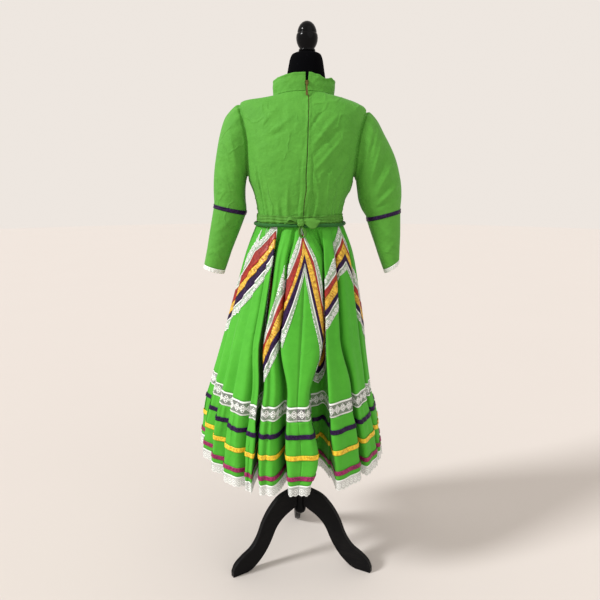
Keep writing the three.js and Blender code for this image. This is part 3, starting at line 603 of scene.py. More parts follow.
@dataclass(frozen=True)
class Lacquer:
    """Black lacquer: gloss at the given roughness, with fine scratches, worn a little at the grain."""

    name: str
    slot: str
    roughness: float
    metallic: float = 0.0
    grain: float = 0.0
    shine: float = 0.1

    def build(self) -> bpy.types.Material:
        """Makes the material.

        Returns:
            The material.
        """
        n = Nodes(self.name)
        streaks = n.noise(30.0, 5.0, None, (1.0, 1.0, 9.0))
        smudges = n.noise(9.0, 3.0)
        colour = n.mix((streaks * smudges).soft(0.2, 0.45), (0.002, 0.002, 0.0025), (0.006, 0.0055, 0.0055))
        rough = smudges * 0.16 + (self.roughness - 0.08) + streaks * 0.05
        return n.finish(
            Base_Color=colour, Roughness=rough, Metallic=self.metallic, Specular_IOR_Level=self.shine,
            Normal=n.raised(streaks, 0.0002 + self.grain, 0.3),
        )


@dataclass(frozen=True)
class Brass:
    """Aged brass of the zip's slider, tab and teeth."""

    name: str = "zip_brass"
    slot: str = "zip_brass"

    def build(self) -> bpy.types.Material:
        """Makes the material.

        Returns:
            The material.
        """
        n = Nodes(self.name)
        tarnish = n.noise(300.0, 4.0)
        colour = n.mix(tarnish.soft(0.35, 0.7), (0.17, 0.125, 0.035), (0.06, 0.048, 0.02))
        return n.finish(
            Base_Color=colour, Metallic=0.85, Roughness=tarnish * 0.3 + 0.25,
            Normal=n.raised(tarnish, 0.0001, 0.4),
        )


@dataclass(frozen=True)
class ZipTape:
    """Woven tape of the zip, dark olive."""

    name: str = "zip_tape"
    slot: str = "zip_tape"

    def build(self) -> bpy.types.Material:
        """Makes the material.

        Returns:
            The material.
        """
        n = Nodes(self.name)
        _, along, across = n.cloth_place()
        rib = (across * 5000.0).op("SINE") * 0.5 + 0.5
        # Painted shade: the tape is darker in the grooves between the ribs that the bump raises.
        colour = n.mix(rib, (0.012, 0.07, 0.01), (0.03, 0.14, 0.018))
        return n.finish(Base_Color=colour, Roughness=0.8, Normal=n.raised(rib, 0.0001, 0.5))


POPLIN = Poplin("cotton_green", "cotton_green", (0.068, 0.385, 0.024), (0.05, 0.32, 0.017))
# Painted shade: a greyer, darker copy of the same cotton green, worn by the bodice, collar and sleeves; its
# stronger creases are real bumps.
CREASED_SHADED = Poplin("cotton_green_creased_shaded", "cotton_green", (0.09, 0.33, 0.034), (0.066, 0.265, 0.024), 1.7)
# Painted shade: a darker copy of the same cotton green, worn by the sash and the bow.
FOLDED_SHADED = Poplin("cotton_green_folded_shaded", "cotton_green", (0.085, 0.27, 0.03), (0.05, 0.19, 0.018), 0.9)
ROLLED = Poplin("cord_green", "cord_green", (0.018, 0.13, 0.02), (0.008, 0.07, 0.01), 0.8)
RED = Satin("satin_red", "satin_red", (0.2, 0.008, 0.005), (0.34, 0.02, 0.008), 0.011, 0.0003, 0.1)
GOLD = Satin("satin_gold", "satin_gold", (0.34, 0.13, 0.006), (0.74, 0.42, 0.03), 0.02, 0.0022, 0.35)
YELLOW = Satin("satin_yellow", "satin_yellow", (0.5, 0.26, 0.006), (0.84, 0.52, 0.02), 0.015, 0.0014, 0.35)
PURPLE = Satin(
    "satin_purple", "satin_purple", (0.009, 0.002, 0.02), (0.024, 0.005, 0.052), 0.016, 0.0003, 0.1, 0.12)
MAGENTA = Satin("satin_magenta", "satin_magenta", (0.13, 0.003, 0.045), (0.28, 0.01, 0.09), 0.014, 0.0004, 0.2)
EDGE_LACE = Lace("lace_edging", "lace_white", LaceKind.EDGING, 0.027, 0.0135)
BAND_LACE = Lace("lace_insertion", "lace_white", LaceKind.INSERTION, 0.039, 0.021, veil=0.02)
HEM_LACE = Lace("lace_hem", "lace_white", LaceKind.HEM, 0.031, 0.0155, veil=0.45)
CUFF_LACE = Lace("lace_cuff", "lace_white", LaceKind.HEM, 0.013, 0.0085, veil=0.2)
KNIT = Knit()
GLOSS = Lacquer("black_gloss", "black_gloss", 0.14)
METAL = Lacquer("black_metal", "black_metal", 0.34, 0.3)
WOOD = Lacquer("black_wood", "black_wood", 0.38, 0.0, 0.0003)
BRASS = Brass()
TAPE = ZipTape()

Finish = Poplin | Satin | Lace | Knit | Lacquer | Brass | ZipTape


class Wardrobe:
    """Dresses pieces: gives them their finish and body, and hides the solids they stand for."""

    def __init__(self) -> None:
        """Starts with no material made."""
        self.made: dict[str, bpy.types.Material] = {}

    def material(self, finish: Finish) -> bpy.types.Material:
        """The material of a finish, made once.

        Args:
            finish: the finish.

        Returns:
            The material.
        """
        if finish.name not in self.made:
            self.made[finish.name] = finish.build()
        return self.made[finish.name]

    def dress(
        self, piece: bpy.types.Object, finish: Finish, nodes: Sequence[str] = (), body: str = GARMENT,
    ) -> None:
        """Gives a piece its material and body, and hides the solids that it stands for.

        Args:
            piece: the piece.
            finish: its finish.
            nodes: the solids that it stands for.
            body: the body that it moves with.
        """
        piece.data.materials.clear()
        piece.data.materials.append(self.material(finish))
        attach(piece, body)
        if nodes:
            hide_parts(*nodes)
        log.info("%s: %d faces", piece.name, len(piece.data.polygons))

    def keep(self, node: bpy.types.Object, finish: Finish) -> None:
        """Gives a solid that stays in view a better material.

        Args:
            node: the solid's object.
            finish: its finish.
        """
        node.data.materials.clear()
        node.data.materials.append(self.material(finish))


# Making pieces


def on_axis(p: Vector) -> Vector:
    """The body's axis beside a point."""
    return Vector((0.0, 0.0, p.z))


def below(shell: BVHTree, p: Vector) -> float:
    """How deep a point lies under a closed shell, in metres; less than 0 is outside."""
    near, out, _, away = shell.find_nearest(p)
    return away if (p - near).dot(out) < 0 else -away


def drawn_in(shell: BVHTree, p: Vector) -> float:
    """How far cloth is drawn in beside the seam where it meets another shell, in metres."""
    return SEAM_DEEP * (1 - smooth(0.0, SEAM_WIDE, abs(below(shell, p))))


def finish_mesh(bm: bmesh.types.BMesh, name: str, soft: bool = True) -> bpy.types.Object:
    """Makes an object of a bmesh, at the origin.

    Args:
        bm: the mesh, which is freed.
        name: the piece's name.
        soft: whether its faces are shaded smooth.

    Returns:
        The object.
    """
    mesh = bpy.data.meshes.new(name)
    bm.to_mesh(mesh)
    bm.free()
    mesh.polygons.foreach_set("use_smooth", [soft] * len(mesh.polygons))
    piece = bpy.data.objects.new(name, mesh)
    bpy.context.scene.collection.objects.link(piece)
    return piece


def cap(piece: bpy.types.Object) -> None:
    """Closes a piece's open ends and turns its faces outwards.

    Args:
        piece: a piece that is open at its ends alone.
    """
    bm = bmesh.new()
    bm.from_mesh(piece.data)
    bmesh.ops.remove_doubles(bm, verts=bm.verts[:], dist=MERGE)
    bmesh.ops.holes_fill(bm, edges=[e for e in bm.edges if e.is_boundary], sides=0)
    bmesh.ops.recalc_face_normals(bm, faces=bm.faces[:])
    bm.to_mesh(piece.data)
    bm.free()


def thicken(piece: bpy.types.Object, thickness: float) -> None:
    """Gives a cloth its thickness, inwards from its outer face.

    Args:
        piece: the cloth.
        thickness: its thickness in metres.
    """
    wall = piece.modifiers.new("thickness", "SOLIDIFY")
    wall.thickness = thickness
    wall.offset = -1.0


@dataclass
class Cloth:
    """A panel of cloth on a surface of two parameters, each from 0 to 1.

    The map of its cloth is in metres: along the first parameter and across from the panel's lower edge.
    On a strip that slants over the columns, mitred measures along and across the strip itself.
    """

    name: str
    surface: Surface
    columns: int
    rows: int
    thickness: float = 0.0013
    closed: bool = False
    mitred: bool = False
    from_top: bool = False
    hub: Callable[[Vector], Vector] = on_axis
    drop: Callable[[Vector], bool] | None = None
    sink: Callable[[Vector], float] | None = None

    def build(self) -> bpy.types.Object:
        """Builds the panel.

        Returns:
            The piece, with its cut size kept as flat_m and area_m2.
        """
        bm = bmesh.new()
        bmesh.ops.create_grid(bm, x_segments=self.columns, y_segments=self.rows, size=1.0)
        layer = bm.loops.layers.uv.new("UVMap")
        place = {v: (round((v.co.x + 1) / 2, 6), round((v.co.y + 1) / 2, 6)) for v in bm.verts}
        points = {key: self.surface(*key) for key in set(place.values())}
        flat, size = self.map_of(points)
        for face in bm.faces:
            for loop in face.loops:
                loop[layer].uv = flat[place[loop.vert]]
        for vert, key in place.items():
            vert.co = points[key]
        bm.normal_update()
        middles = [f.calc_center_median() for f in bm.faces]
        if sum(f.normal.dot(p - self.hub(p)) for f, p in zip(bm.faces, middles)) < 0:
            bmesh.ops.reverse_faces(bm, faces=bm.faces[:])
        if self.closed:
            bmesh.ops.remove_doubles(bm, verts=bm.verts[:], dist=CLOSE)
        if self.drop:
            gone = [f for f in bm.faces if all(self.drop(v.co) for v in f.verts)]
            bmesh.ops.delete(bm, geom=gone, context="FACES")
        if self.sink:
            bm.normal_update()
            deep = {v: self.sink(v.co) for v in bm.verts}
            for vert, depth in deep.items():
                vert.co -= vert.normal * depth
        area = sum(f.calc_area() for f in bm.faces)
        piece = finish_mesh(bm, self.name)
        piece["flat_m"] = [max(size[0], FLAT_MARGIN * area / size[1]), size[1]]
        piece["area_m2"] = area
        if self.thickness:
            thicken(piece, self.thickness)
        return piece

    def map_of(self, points: dict) -> tuple[dict, tuple[float, float]]:
        """Place on the flat cloth of every point, and the cloth's length and width.

        Args:
            points: the points of the surface by their two parameters.

        Returns:
            The places by the same two parameters, and the length and width in metres.
        """
        us = sorted({u for u, _ in points})
        vs = sorted({v for _, v in points})
        middle = vs[len(vs) // 2]
        line = [points[(u, middle)] for u in us]
        run = [0.0]
        for a, b in zip(line, line[1:]):
            run.append(run[-1] + (b - a).length)
        flat = {}
        widest = 0.0
        for i, u in enumerate(us):
            column = [points[(u, v)] for v in vs]
            if self.mitred:
                before = line[i - 1] if i else line[i + 1] * -1 + line[i] * 2
                after = line[i + 1] if i + 1 < len(line) else line[i] * 2 - line[i - 1]
                tangent = (after - before).normalized()
                low = column[0] - (column[0] - line[i]).dot(tangent) * tangent
                for v, p in zip(vs, column):
                    way = (p - line[i]).dot(tangent)
                    flat[(u, v)] = (run[i] + way, (p - tangent * way - low).length)
                widest = max(widest, 0.9 * flat[(u, vs[-1])][1])
            else:
                up = [0.0]
                for a, b in zip(column, column[1:]):
                    up.append(up[-1] + (b - a).length)
                for v, height in zip(vs, up):
                    flat[(u, v)] = (run[i], height)
                widest = max(widest, up[-1])
            if self.from_top:
                top = flat[(u, vs[-1])][1]
                for v in vs:
                    flat[(u, v)] = (flat[(u, v)][0], top - flat[(u, v)][1])
        return flat, (run[-1], widest)


def shell_of(surface: Surface, columns: int, rows: int) -> BVHTree:
    """A closed shell on a surface, for finding what lies inside it.

    Args:
        surface: the surface, closed round its first parameter.
        columns: its columns.
        rows: its rows.

    Returns:
        The shell's search tree.
    """
    piece = Cloth("shell", surface, columns, rows, 0.0, True).build()
    cap(piece)
    bm = bmesh.new()
    bm.from_mesh(piece.data)
    tree = BVHTree.FromBMesh(bm)
    bm.free()
    bpy.data.objects.remove(piece)
    return tree


def declare(piece: bpy.types.Object, rests_on: Sequence[str]) -> None:
    """Works out the area of a piece from the size it was cut to; nothing is kept.

    Args:
        piece: the piece, as Cloth builds it.
        rests_on: what it rests on; not used.
    """
    area = min(piece["area_m2"], piece["flat_m"][0] * piece["flat_m"][1])
    area = max(area, LEAST_SHARE * piece["flat_m"][0] * piece["flat_m"][1])
    tuple(piece["flat_m"])


def turned(
    name: str, profile: Sequence[tuple[float, float]], steps: int, lean: float = 0.0, at: Sequence[float] = (0, 0),
) -> bpy.types.Object:
    """A turned piece from its outline.

    Args:
        name: the piece's name.
        profile: radius and height of each point of the outline, in millimetres, from the axis to the axis.
        steps: faces round it.
        lean: lean towards +X, in radians, about the outline's lowest point.
        at: x and y of its axis, in millimetres.

    Returns:
        The piece.
    """
    bm = bmesh.new()
    verts = [bm.verts.new((r * MM, 0.0, z * MM)) for r, z in profile]
    edges = [bm.edges.new(pair) for pair in zip(verts, verts[1:])]
    bmesh.ops.spin(
        bm, geom=[*verts, *edges], cent=(0, 0, 0), axis=(0, 0, 1), angle=2 * math.pi, steps=steps,
        use_merge=True)
    bmesh.ops.remove_doubles(bm, verts=bm.verts[:], dist=MERGE)
    bmesh.ops.recalc_face_normals(bm, faces=bm.faces[:])
    base = Vector((0.0, 0.0, profile[0][1] * MM))
    bmesh.ops.rotate(bm, verts=bm.verts[:], cent=base, matrix=Matrix.Rotation(lean, 3, "Y"))
    bmesh.ops.translate(bm, verts=bm.verts[:], vec=(at[0] * MM, at[1] * MM, 0.0))
    return finish_mesh(bm, name)


def through(points: Sequence[Sequence[float]], steps: int) -> list[tuple[float, ...]]:
    """Points on a smooth curve through others, evenly spread over its spans.

    Args:
        points: the points that the curve passes.
        steps: how many steps it is cut into.

    Returns:
        The points.
    """
    table = Profile([(i, *p) for i, p in enumerate(points)])
    last = len(points) - 1
    return [tuple(table.at(last * i / steps)[1:]) for i in range(steps + 1)]


# The dress form and its stand


@dataclass
class DressForm:
    """The black form: covered torso and neck, finial, pole, hub and three shaped legs."""

    wardrobe: Wardrobe
    low: tuple = (
        (848, -112, 122, -86, 86), (862, -127, 139, -96, 95), (960, -122, 136, -95, 93),
        (1080, -102, 114, -84, 82),
        (1150, -110, 122, -90, 92), (1215, -124, 136, -100, 110), (1270, -132, 146, -104, 116),
        (1325, -134, 150, -100, 102), (1368, -130, 150, -90, 86), (1396, -118, 138, -79, 71),
    )
    neck: tuple = (
        (1452, -46, 77, -52, 46), (1497, -36, 69.5, -47, 45), (1532, -29, 64, -43, 43),
        (1547, -22, 58, -37, 37),
        (1554.6, -4, 42, -22, 22),
    )
    finial: tuple = (
        (0, 1555), (21, 1555), (23.2, 1556.2), (23.5, 1558.5), (22.6, 1561), (20.8, 1562.4), (21, 1563.6),
        (24.5, 1569),
        (27.8, 1576), (29.7, 1583), (30.4, 1591), (29.6, 1598), (28.3, 1601.6), (26.9, 1602.9), (26.5, 1604.4),
        (26.9, 1606), (26.2, 1611), (23.6, 1618.5), (19.4, 1625.5), (13.4, 1631.3), (6.8, 1634.4), (0, 1635),
    )
    hub: tuple = (
        (0, 140), (8, 140.3), (13.5, 142), (18, 147), (19.5, 155), (18.8, 161.5), (16.6, 166), (15.5, 169),
        (15.5, 229.5), (14.2, 232), (0, 232),
    )
    pole: tuple = ((0, 232.3), (12.2, 232.3), (13, 233.2), (13, 846), (12.2, 846.9), (0, 846.9))
    leg_upper: tuple = (
        (15.9, 232), (45, 230), (82, 218), (115, 188), (140, 150), (158, 108), (182, 76), (215, 56), (238, 38),
        (249, 16),
    )
    leg_lower: tuple = (
        (200, 0), (178, 8), (150, 30), (128, 56), (112, 82), (92, 120), (65, 146), (30, 164), (15.9, 174),
    )
    leg_turns: tuple = (("leg_left", 213), ("leg_right", 333), ("leg_back", 93))
    leg_thick: float = 18.0
    finial_x: float = 19.6
    lean: float = 0.0135
    square: float = 2.2
    shoulder_rows: tuple = (9, 10)
    shoulder_gap: float = 3.0
    ease: float = 0.6

    def torso(self, bodice: "Bodice") -> None:
        """Builds the torso, whose shoulders lie inside the bodice's.

        Args:
            bodice: the bodice that the shoulders carry.
        """
        rings: list[Callable[[float], Vector]] = []
        for z, *ring in self.low:
            rings.append(lambda a, z=z, ring=ring: Vector((*section(ring, a, self.square), z)))
        for row in self.shoulder_rows:
            rings.append(lambda a, row=row: bodice.ring_point(a, row) - Vector((0, 0, self.shoulder_gap)))
        for z, *ring in self.neck:
            rings.append(lambda a, z=z, ring=ring: Vector((*section(ring, a, self.square), z)))
        last = len(rings) - 1

        def surface(u: float, v: float) -> Vector:
            """A point of the surface.

            Args:
                u: the share of the way round.
                v: the share of the way up.

            Returns:
                The point, in metres.
            """
            angle = 2 * math.pi * u
            i = min(int(v * last), last - 1)
            t = v * last - i
            a, b = rings[i](angle), rings[i + 1](angle)
            before, after = rings[max(0, i - 1)](angle), rings[min(last, i + 2)](angle)
            m, n = (b - before) * 0.5, (after - a) * 0.5
            h = 2 * t**3 - 3 * t**2 + 1
            return (
                a * h + b * (1 - h) + m * (t**3 - 2 * t**2 + t) * self.ease + n * (t**3 - t**2) * self.ease
            ) * MM

        piece = Cloth("form_body", surface, 88, 96, 0.0, True).build()
        cap(piece)
        self.wardrobe.dress(piece, KNIT, ["form_torso"])

    def stand(self) -> None:
        """Builds the finial, pole, hub and legs."""
        finial = turned("finial_turned", self.finial, 72, at=(self.finial_x, 0))
        self.wardrobe.dress(finial, GLOSS, ["finial"])
        pole = turned("pole_tube", self.pole, 48, self.lean)
        self.wardrobe.dress(pole, METAL, ["pole"])
        hub = turned("hub_turned", self.hub, 64)
        self.wardrobe.dress(hub, METAL, ["hub"])
        outline = [*through(self.leg_upper, 54), (249.0, 0.0), *through(self.leg_lower, 44)]
        for name, turn in self.leg_turns:
            bm = bmesh.new()
            verts = [bm.verts.new((r * MM, -self.leg_thick / 2 * MM, z * MM)) for r, z in outline]
            face = bm.faces.new(verts)
            grown = bmesh.ops.extrude_face_region(bm, geom=[face])
            moved = [v for v in grown["geom"] if isinstance(v, bmesh.types.BMVert)]
            bmesh.ops.translate(bm, verts=moved, vec=(0, self.leg_thick * MM, 0))
            bmesh.ops.recalc_face_normals(bm, faces=bm.faces[:])
            rims = [e for e in bm.edges if any(len(f.verts) > 8 for f in e.link_faces)]
            bmesh.ops.bevel(
                bm, geom=rims, offset=0.0018, offset_type="OFFSET", segments=3, profile=0.5, affect="EDGES",
                material=-1)
            about = Matrix.Rotation(math.radians(turn), 3, "Z")
            bmesh.ops.rotate(bm, verts=bm.verts[:], cent=(0, 0, 0), matrix=about)
            leg = finish_mesh(bm, name + "_board", soft=False)
            self.wardrobe.dress(leg, WOOD, [name])


# The skirt


@dataclass
class Skirt:
    """The gathered skirt with its chevrons, insertion lace, flounce, ribbons and hem lace."""

    wardrobe: Wardrobe
    waist: float = 1079.7
    insertion_top: float = 592.0
    insertion_low: float = 552.7
    hem: float = 374.0
    hem_lace: float = 342.0
    lift_left: float = 55.0
    lift_right: float = 25.0
    outline: tuple = (
        (1084, -124, 123, -98, 98), (998, -158, 155, -125, 122), (846, -200, 180, -165, 158),
        (688, -246, 201, -206, 196), (575, -278, 217, -232, 218), (408, -309, 249, -256, 240),
        (330, -312, 257, -262, 246),
    )
    waist_turns: tuple = (
        20, 37.5, 48, 56, 76, 92, 107, 124, 150, 171, 190, 207.3, 224.6, 241.9, 259.1, 276.4, 293.7, 311, 328.2,
        345.5, 362.8,
    )
    folds: tuple = (
        (22, 2, 1, 29.5, 1, 0.95), (37, 2, 1, 44.5, 1, 0.945), (53, 5, 1, 62, 0.5, 0.92),
        (66, 2.5, 1, 58, 2.5, 0.58),
        (77, 4.5, 1, 86.5, 1.2, 0.78), (95.5, 6.5, 1, 107.5, 0.5, 0.8), (123, 9, 0.6, 124.5, 0.5, 0.8),
        (127, 10, 1, 146, 1, 0.8),
        (149, 8, 1, 163, 1, 0.85), (168, 6, 1, 178, 1.5, 0.84), (188, 6, 1, 197.5, 1.5, 0.8),
        (207, 6, 1, 216, 1.5, 0.76),
        (225, 6, 1, 234, 1.5, 0.8), (243, 6, 1, 252, 1.5, 0.76), (261, 6, 1, 270, 1.5, 0.82),
        (279, 6, 1, 288, 1.5, 0.76),
        (297, 6, 1, 305.5, 1.5, 0.8), (314, 6, 1, 322, 1.5, 0.76), (330, 5.5, 1, 338.5, 1.5, 0.82),
        (347, 4, 1, 356, 1.5, 0.88),
        (365, 2, 1, 373.5, 1, 0.94),
    )
    folds_above: tuple = (
        (20, 2, 1, 29, 1, 0.975), (36, 2, 1, 44, 1, 0.975), (50, 4, 1, 56.5, 0.3, 0.97),
        (59.5, 2.8, 1, 51.5, 1.5, 0.62),
        (71.5, 4.5, 1, 78.5, 0.7, 0.8), (95.5, 15, 1, 119, 0.5, 0.83), (129, 1.5, 0.66, 121, 0.5, 0.83),
        (122, 6.5, 1, 134, 0.7, 0.84),
        (145, 10, 1, 161, 0.7, 0.88),
    )
    quarters: tuple = (
        ("back_right", 5.0, 10.25), ("front_right", 10.25, 15.5), ("front_left", 15.5, 20.75),
        ("back_left", 20.75, 26.0),
    )
    turns: tuple = (
        (-3.75, 1070, 1052, 1037, 1000, 973, 930), (-1.0, 900, 862, 818, 780, 762, 715),
        (0.0, 990, 924, 890, 858, 826, 775),
        (1.0, 1078, 1000, 948, 918, 880, 840), (3.2, 1079, 1064, 1044, 1018, 1000, 968),
        (3.38, 1010, 925, 860, 805, 775, 735),
        (3.5, 780, 705, 682, 652, 636, 606), (3.78, 800, 756, 733, 703, 684, 652),
        (4.22, 980, 885, 850, 790, 760, 722),
        (4.78, 1020, 935, 872, 850, 800, 740), (5.0, 1079, 1060, 1038, 1000, 978, 948),
        (5.12, 1036, 985, 960, 895, 868, 822),
        (5.24, 932, 870, 848, 792, 764, 728), (6.0, 790, 740, 715, 670, 650, 618),
        (6.76, 930, 902, 878, 845, 826, 788),
        (7.22, 1000, 945, 930, 895, 880, 845), (7.76, 1055, 1012, 996, 970, 955, 936),
        (8.0, 1079, 1042, 1028, 995, 975, 950),
        (9.5, 830, 758, 724, 694, 676, 640), (11.0, 1078, 1052, 1037, 1000, 973, 930),
        (12.5, 830, 758, 724, 694, 670, 636),
        (14.0, 1078, 1052, 1037, 1000, 973, 930), (15.5, 830, 758, 724, 694, 670, 636),
        (17.25, 1070, 1052, 1037, 1000, 973, 930),
        (20.0, 900, 862, 818, 780, 762, 715), (21.0, 990, 924, 890, 858, 826, 775),
    )
    bands: tuple = (
        ("chevron_lace_outer", EDGE_LACE), ("chevron_red", RED), ("chevron_gold", GOLD),
        ("chevron_purple", PURPLE),
        ("chevron_lace_inner", EDGE_LACE),
    )
    ribbons: tuple = (
        ("flounce_ribbon_purple", 519, 505, PURPLE), ("flounce_ribbon_yellow", 461, 446, YELLOW),
        ("flounce_ribbon_magenta", 401, 387, MAGENTA),
    )
    gathers_round: int = 97
    sharp_gathers: float = 3.6
    broad_gathers: float = 1.8
    hem_puff: float = 4.5
    valley_calm: float = 0.92
    crest_span: float = 0.22
    valley_span: tuple = (0.41, 0.59)
    cloth_step: tuple = (0.04, 4.0)
    trim_step: tuple = (0.03, 3.0)
    lace_lift: float = 1.5
    ribbon_lift: float = 2.0
    flounce_ribbon_lift: float = 2.3
    trim_gap: float = 0.5
    seam_gap: float = 0.3
    columns_a_fold: int = 24
    parts_a_fold: int = 96
    lengths_a_fold: int = 16
    lengths_level: float = 860.0

    def __post_init__(self) -> None:
        """Prepares the smooth tables."""
        self.rings = Profile(self.outline)
        count = len(self.folds)
        waist = Profile([(k, self.waist_turns[k % count] + 360 * (k // count)) for k in range(-1, count + 2)])
        low = self.plan(self.folds)
        above = self.plan((*self.folds_above, *self.folds[len(self.folds_above):]))
        keys = [i / self.parts_a_fold for i in range(self.parts_a_fold * count + 2)]
        self.fine = [(waist.at(key)[1], *above.at(key)[1:], *low.at(key)[1:]) for key in keys]
        self.run = [0.0]
        around = [i / self.lengths_a_fold for i in range(self.lengths_a_fold * count + 1)]
        steps = [self.place(fold, self.lengths_level) for fold in around]
        for a, b in zip(steps, steps[1:]):
            self.run.append(self.run[-1] + (b - a).length)

    def plan(self, folds: Sequence[Sequence[float]]) -> Profile:
        """The folds seen from above: angle in degrees and share of the radius over the count of folds.

        Args:
            folds: for each fold its crest, half width and share, then its valley's middle, half width and share.

        Returns:
            The smooth table.
        """
        rows = []
        count = len(folds)
        for k in range(-1, count + 1):
            crest, half, high, valley, wide, deep = folds[k % count]
            whole = 360 * (k // count)
            rows.append((k - self.crest_span, crest - half + whole, high))
            rows.append((k, crest + whole, high))
            rows.append((k + self.crest_span, crest + half + whole, high))
            rows.append((k + self.valley_span[0], valley - wide + whole, deep))
            rows.append((k + self.valley_span[1], valley + wide + whole, deep))
        return Profile(rows)

    def place(self, fold: float, level: float) -> Vector:
        """The point of the skirt's outer face at a fold and a level, both as on the solids.

        Args:
            fold: the fold.
            level: the level, in millimetres.

        Returns:
            The point, in metres.
        """
        count = len(self.folds)
        drop = clamp((self.waist - level) / (self.waist - self.hem), 0.0, 1.2)
        whole, part = divmod(fold, count)
        i = int(part * self.parts_a_fold)
        t = part * self.parts_a_fold - i
        row = zip(self.fine[i], self.fine[i + 1])
        waist, above, share_above, low, share_low = (a + (b - a) * t for a, b in row)
        down = smooth(770, 610, level)
        angle = math.radians(lerp(waist, lerp(above, low, down), smooth(-0.02, 0.15, drop)) + 360 * whole)
        turn = 2 * math.pi * fold / count
        around = Vector((math.cos(turn), math.sin(turn), 0.0)) * 5.0
        angle += 0.02 * drop * wrinkle(around.x, around.y, level * 0.0045)
        angle += math.radians(5.0) * smooth(600, 450, level) * smooth(350, 430, level) * bump(part, 5.2, 0.2)
        growth = lerp(0.1, 1.0, min(1.0, drop / 0.25) ** 0.7) * (1 + 0.35 * smooth(0.72, 1.0, drop))
        share = 1 - growth * (1 - lerp(share_above, share_low, down))
        share += 0.012 * drop * wrinkle(around.x * 1.6, around.y * 1.6, level * 0.006 + 7.0)
        uneven = 2 * wrinkle(around.x, around.y, 3.0)
        share += 0.007 * smooth(0.16, 0.02, drop) * math.cos(6 * math.pi * fold + uneven)
        side = math.cos(angle)
        z = level + (self.lift_left if side > 0 else self.lift_right) * side**4 * drop
        x, y = section(self.rings.at(z)[1:], angle, 2, share)
        return Vector((x, y, z)) * MM

    def dip(self, fold: float) -> float:
        """How near a place is to the bottom of the valley beside its fold, from 0 at a crest to 1."""
        return ((1 - math.cos(2 * math.pi * fold)) / 2) ** 1.5

    def gathers(self, fold: float, level: float) -> float:
        """Small gathers of the flounce, in metres: uneven, sharp at the seam and fading towards the hem.

        Args:
            fold: the fold.
            level: the level, in millimetres.

        Returns:
            The height.
        """
        turn = 2 * math.pi * fold / len(self.folds)
        around = Vector((math.cos(turn), math.sin(turn), 0.0)) * 9.0
        fade = clamp((level - self.hem) / (self.insertion_low - self.hem))
        broad = math.cos(4 * math.pi * fold + 2.4 * wrinkle(around.x, around.y, level * 0.004))
        uneven = 2.0 * wrinkle(around.x * 2, around.y * 2, level * 0.006)
        sharp = 1 - 2 * abs(math.sin(self.gathers_round / len(self.folds) * math.pi * fold + uneven))
        patchy = 0.6 + 0.8 * wrinkle(around.x * 0.8, around.y * 0.8, 11.0)
        puff = self.hem_puff * math.sin(math.pi * clamp(1.35 * (1 - fade))) * smooth(1.0, 0.8, fade)
        high = self.broad_gathers * broad + self.sharp_gathers * patchy * sharp * smooth(0.2, 0.95, fade) + puff
        return high * (1 - self.valley_calm * self.dip(fold)) * MM

    def flounce_place(self, fold: float, level: float) -> Vector:
        """The point of the flounce's outer face."""
        out = normal(self.place, fold, level, *self.cloth_step)
        return self.place(fold, level) + Vector((out.x, out.y, 0.0)) * self.gathers(fold, level)

    def along(self, fold: float) -> float:
        """Length of cloth from the first fold, at the height of the chevrons.

        Args:
            fold: the fold.

        Returns:
            The length, in metres.
        """
        count = len(self.folds)
        whole, part = divmod(fold, count)
        i = min(int(part * self.lengths_a_fold), self.lengths_a_fold * count - 1)
        return whole * self.run[-1] + lerp(self.run[i], self.run[i + 1], part * self.lengths_a_fold - i)

    def chevron_level(self, edge: int, fold: float) -> float:
        """Level of a boundary between the chevron's bands, straight on the flat cloth between its turns.

        Args:
            edge: the boundary, counted from the top.
            fold: the fold.

        Returns:
            The level, in millimetres.
        """
        i = max(j for j in range(len(self.turns) - 1) if self.turns[j][0] <= fold)
        a, b = self.turns[i], self.turns[i + 1]
        start, end = self.along(a[0]), self.along(b[0])
        return lerp(a[edge + 1], b[edge + 1], (self.along(fold) - start) / (end - start))

    def gores(self) -> None:
        """Builds the four gores, insertion laces, flounces and hem laces."""
        for name, start, end in self.quarters:
            columns = round((end - start) * self.columns_a_fold)

            def gore(u: float, v: float) -> Vector:
                """A point of the gore."""
                return self.place(lerp(start, end, u), lerp(self.insertion_top + self.seam_gap, self.waist, v))

            def band(u: float, v: float) -> Vector:
                """A point of the insertion lace."""
                return self.place(lerp(start, end, u), lerp(self.insertion_low, self.insertion_top, v))

            def flounce(u: float, v: float) -> Vector:
                """A point of the flounce."""
                return self.flounce_place(lerp(start, end, u), lerp(self.hem, self.insertion_low - 0.4, v))

            def lace(u: float, v: float) -> Vector:
                """A point of the hem lace."""
                return self.flounce_place(lerp(start, end, u), lerp(self.hem_lace - 2, self.hem - self.seam_gap, v))

            piece = Cloth("gore_" + name, gore, columns, 84).build()
            self.wardrobe.dress(piece, POPLIN, ["skirt_" + name])
            declare(piece, ["belt_band"])
            piece = Cloth("insertion_lace_" + name, band, columns, 6, TRIM_THICK).build()
            self.wardrobe.dress(piece, BAND_LACE, ["insertion_" + name])
            declare(piece, ["gore_" + name])
            piece = Cloth("gathered_flounce_" + name, flounce, columns * 2, 30).build()
            self.wardrobe.dress(piece, POPLIN, ["flounce_" + name])
            declare(piece, ["insertion_lace_" + name])
            piece = Cloth("hem_edging_" + name, lace, columns * 2, 6, TRIM_THICK, from_top=True).build()
            self.wardrobe.dress(piece, HEM_LACE, ["hem_lace_" + name])
            declare(piece, ["gathered_flounce_" + name])

    def strip(self, name: str, low: Callable[[float], float], high: Callable[[float], float],
              on: Surface, lift: float, finish: Finish, from_top: bool, fine: int = 1) -> None:
        """Builds a trim sewn round the skirt between two levels that may depend on the fold.

        Args:
            name: the solid's name.
            low: level of the lower edge.
            high: level of the upper edge.
            on: the cloth's surface under it.
            lift: height of its outer face over that cloth, in metres.
            finish: its finish.
            from_top: whether its map starts at the upper edge.
            fine: how many columns it has for each one of the gores.
        """
        count = len(self.folds)
        raised = lifted(on, lambda fold, level: lift, *self.trim_step)

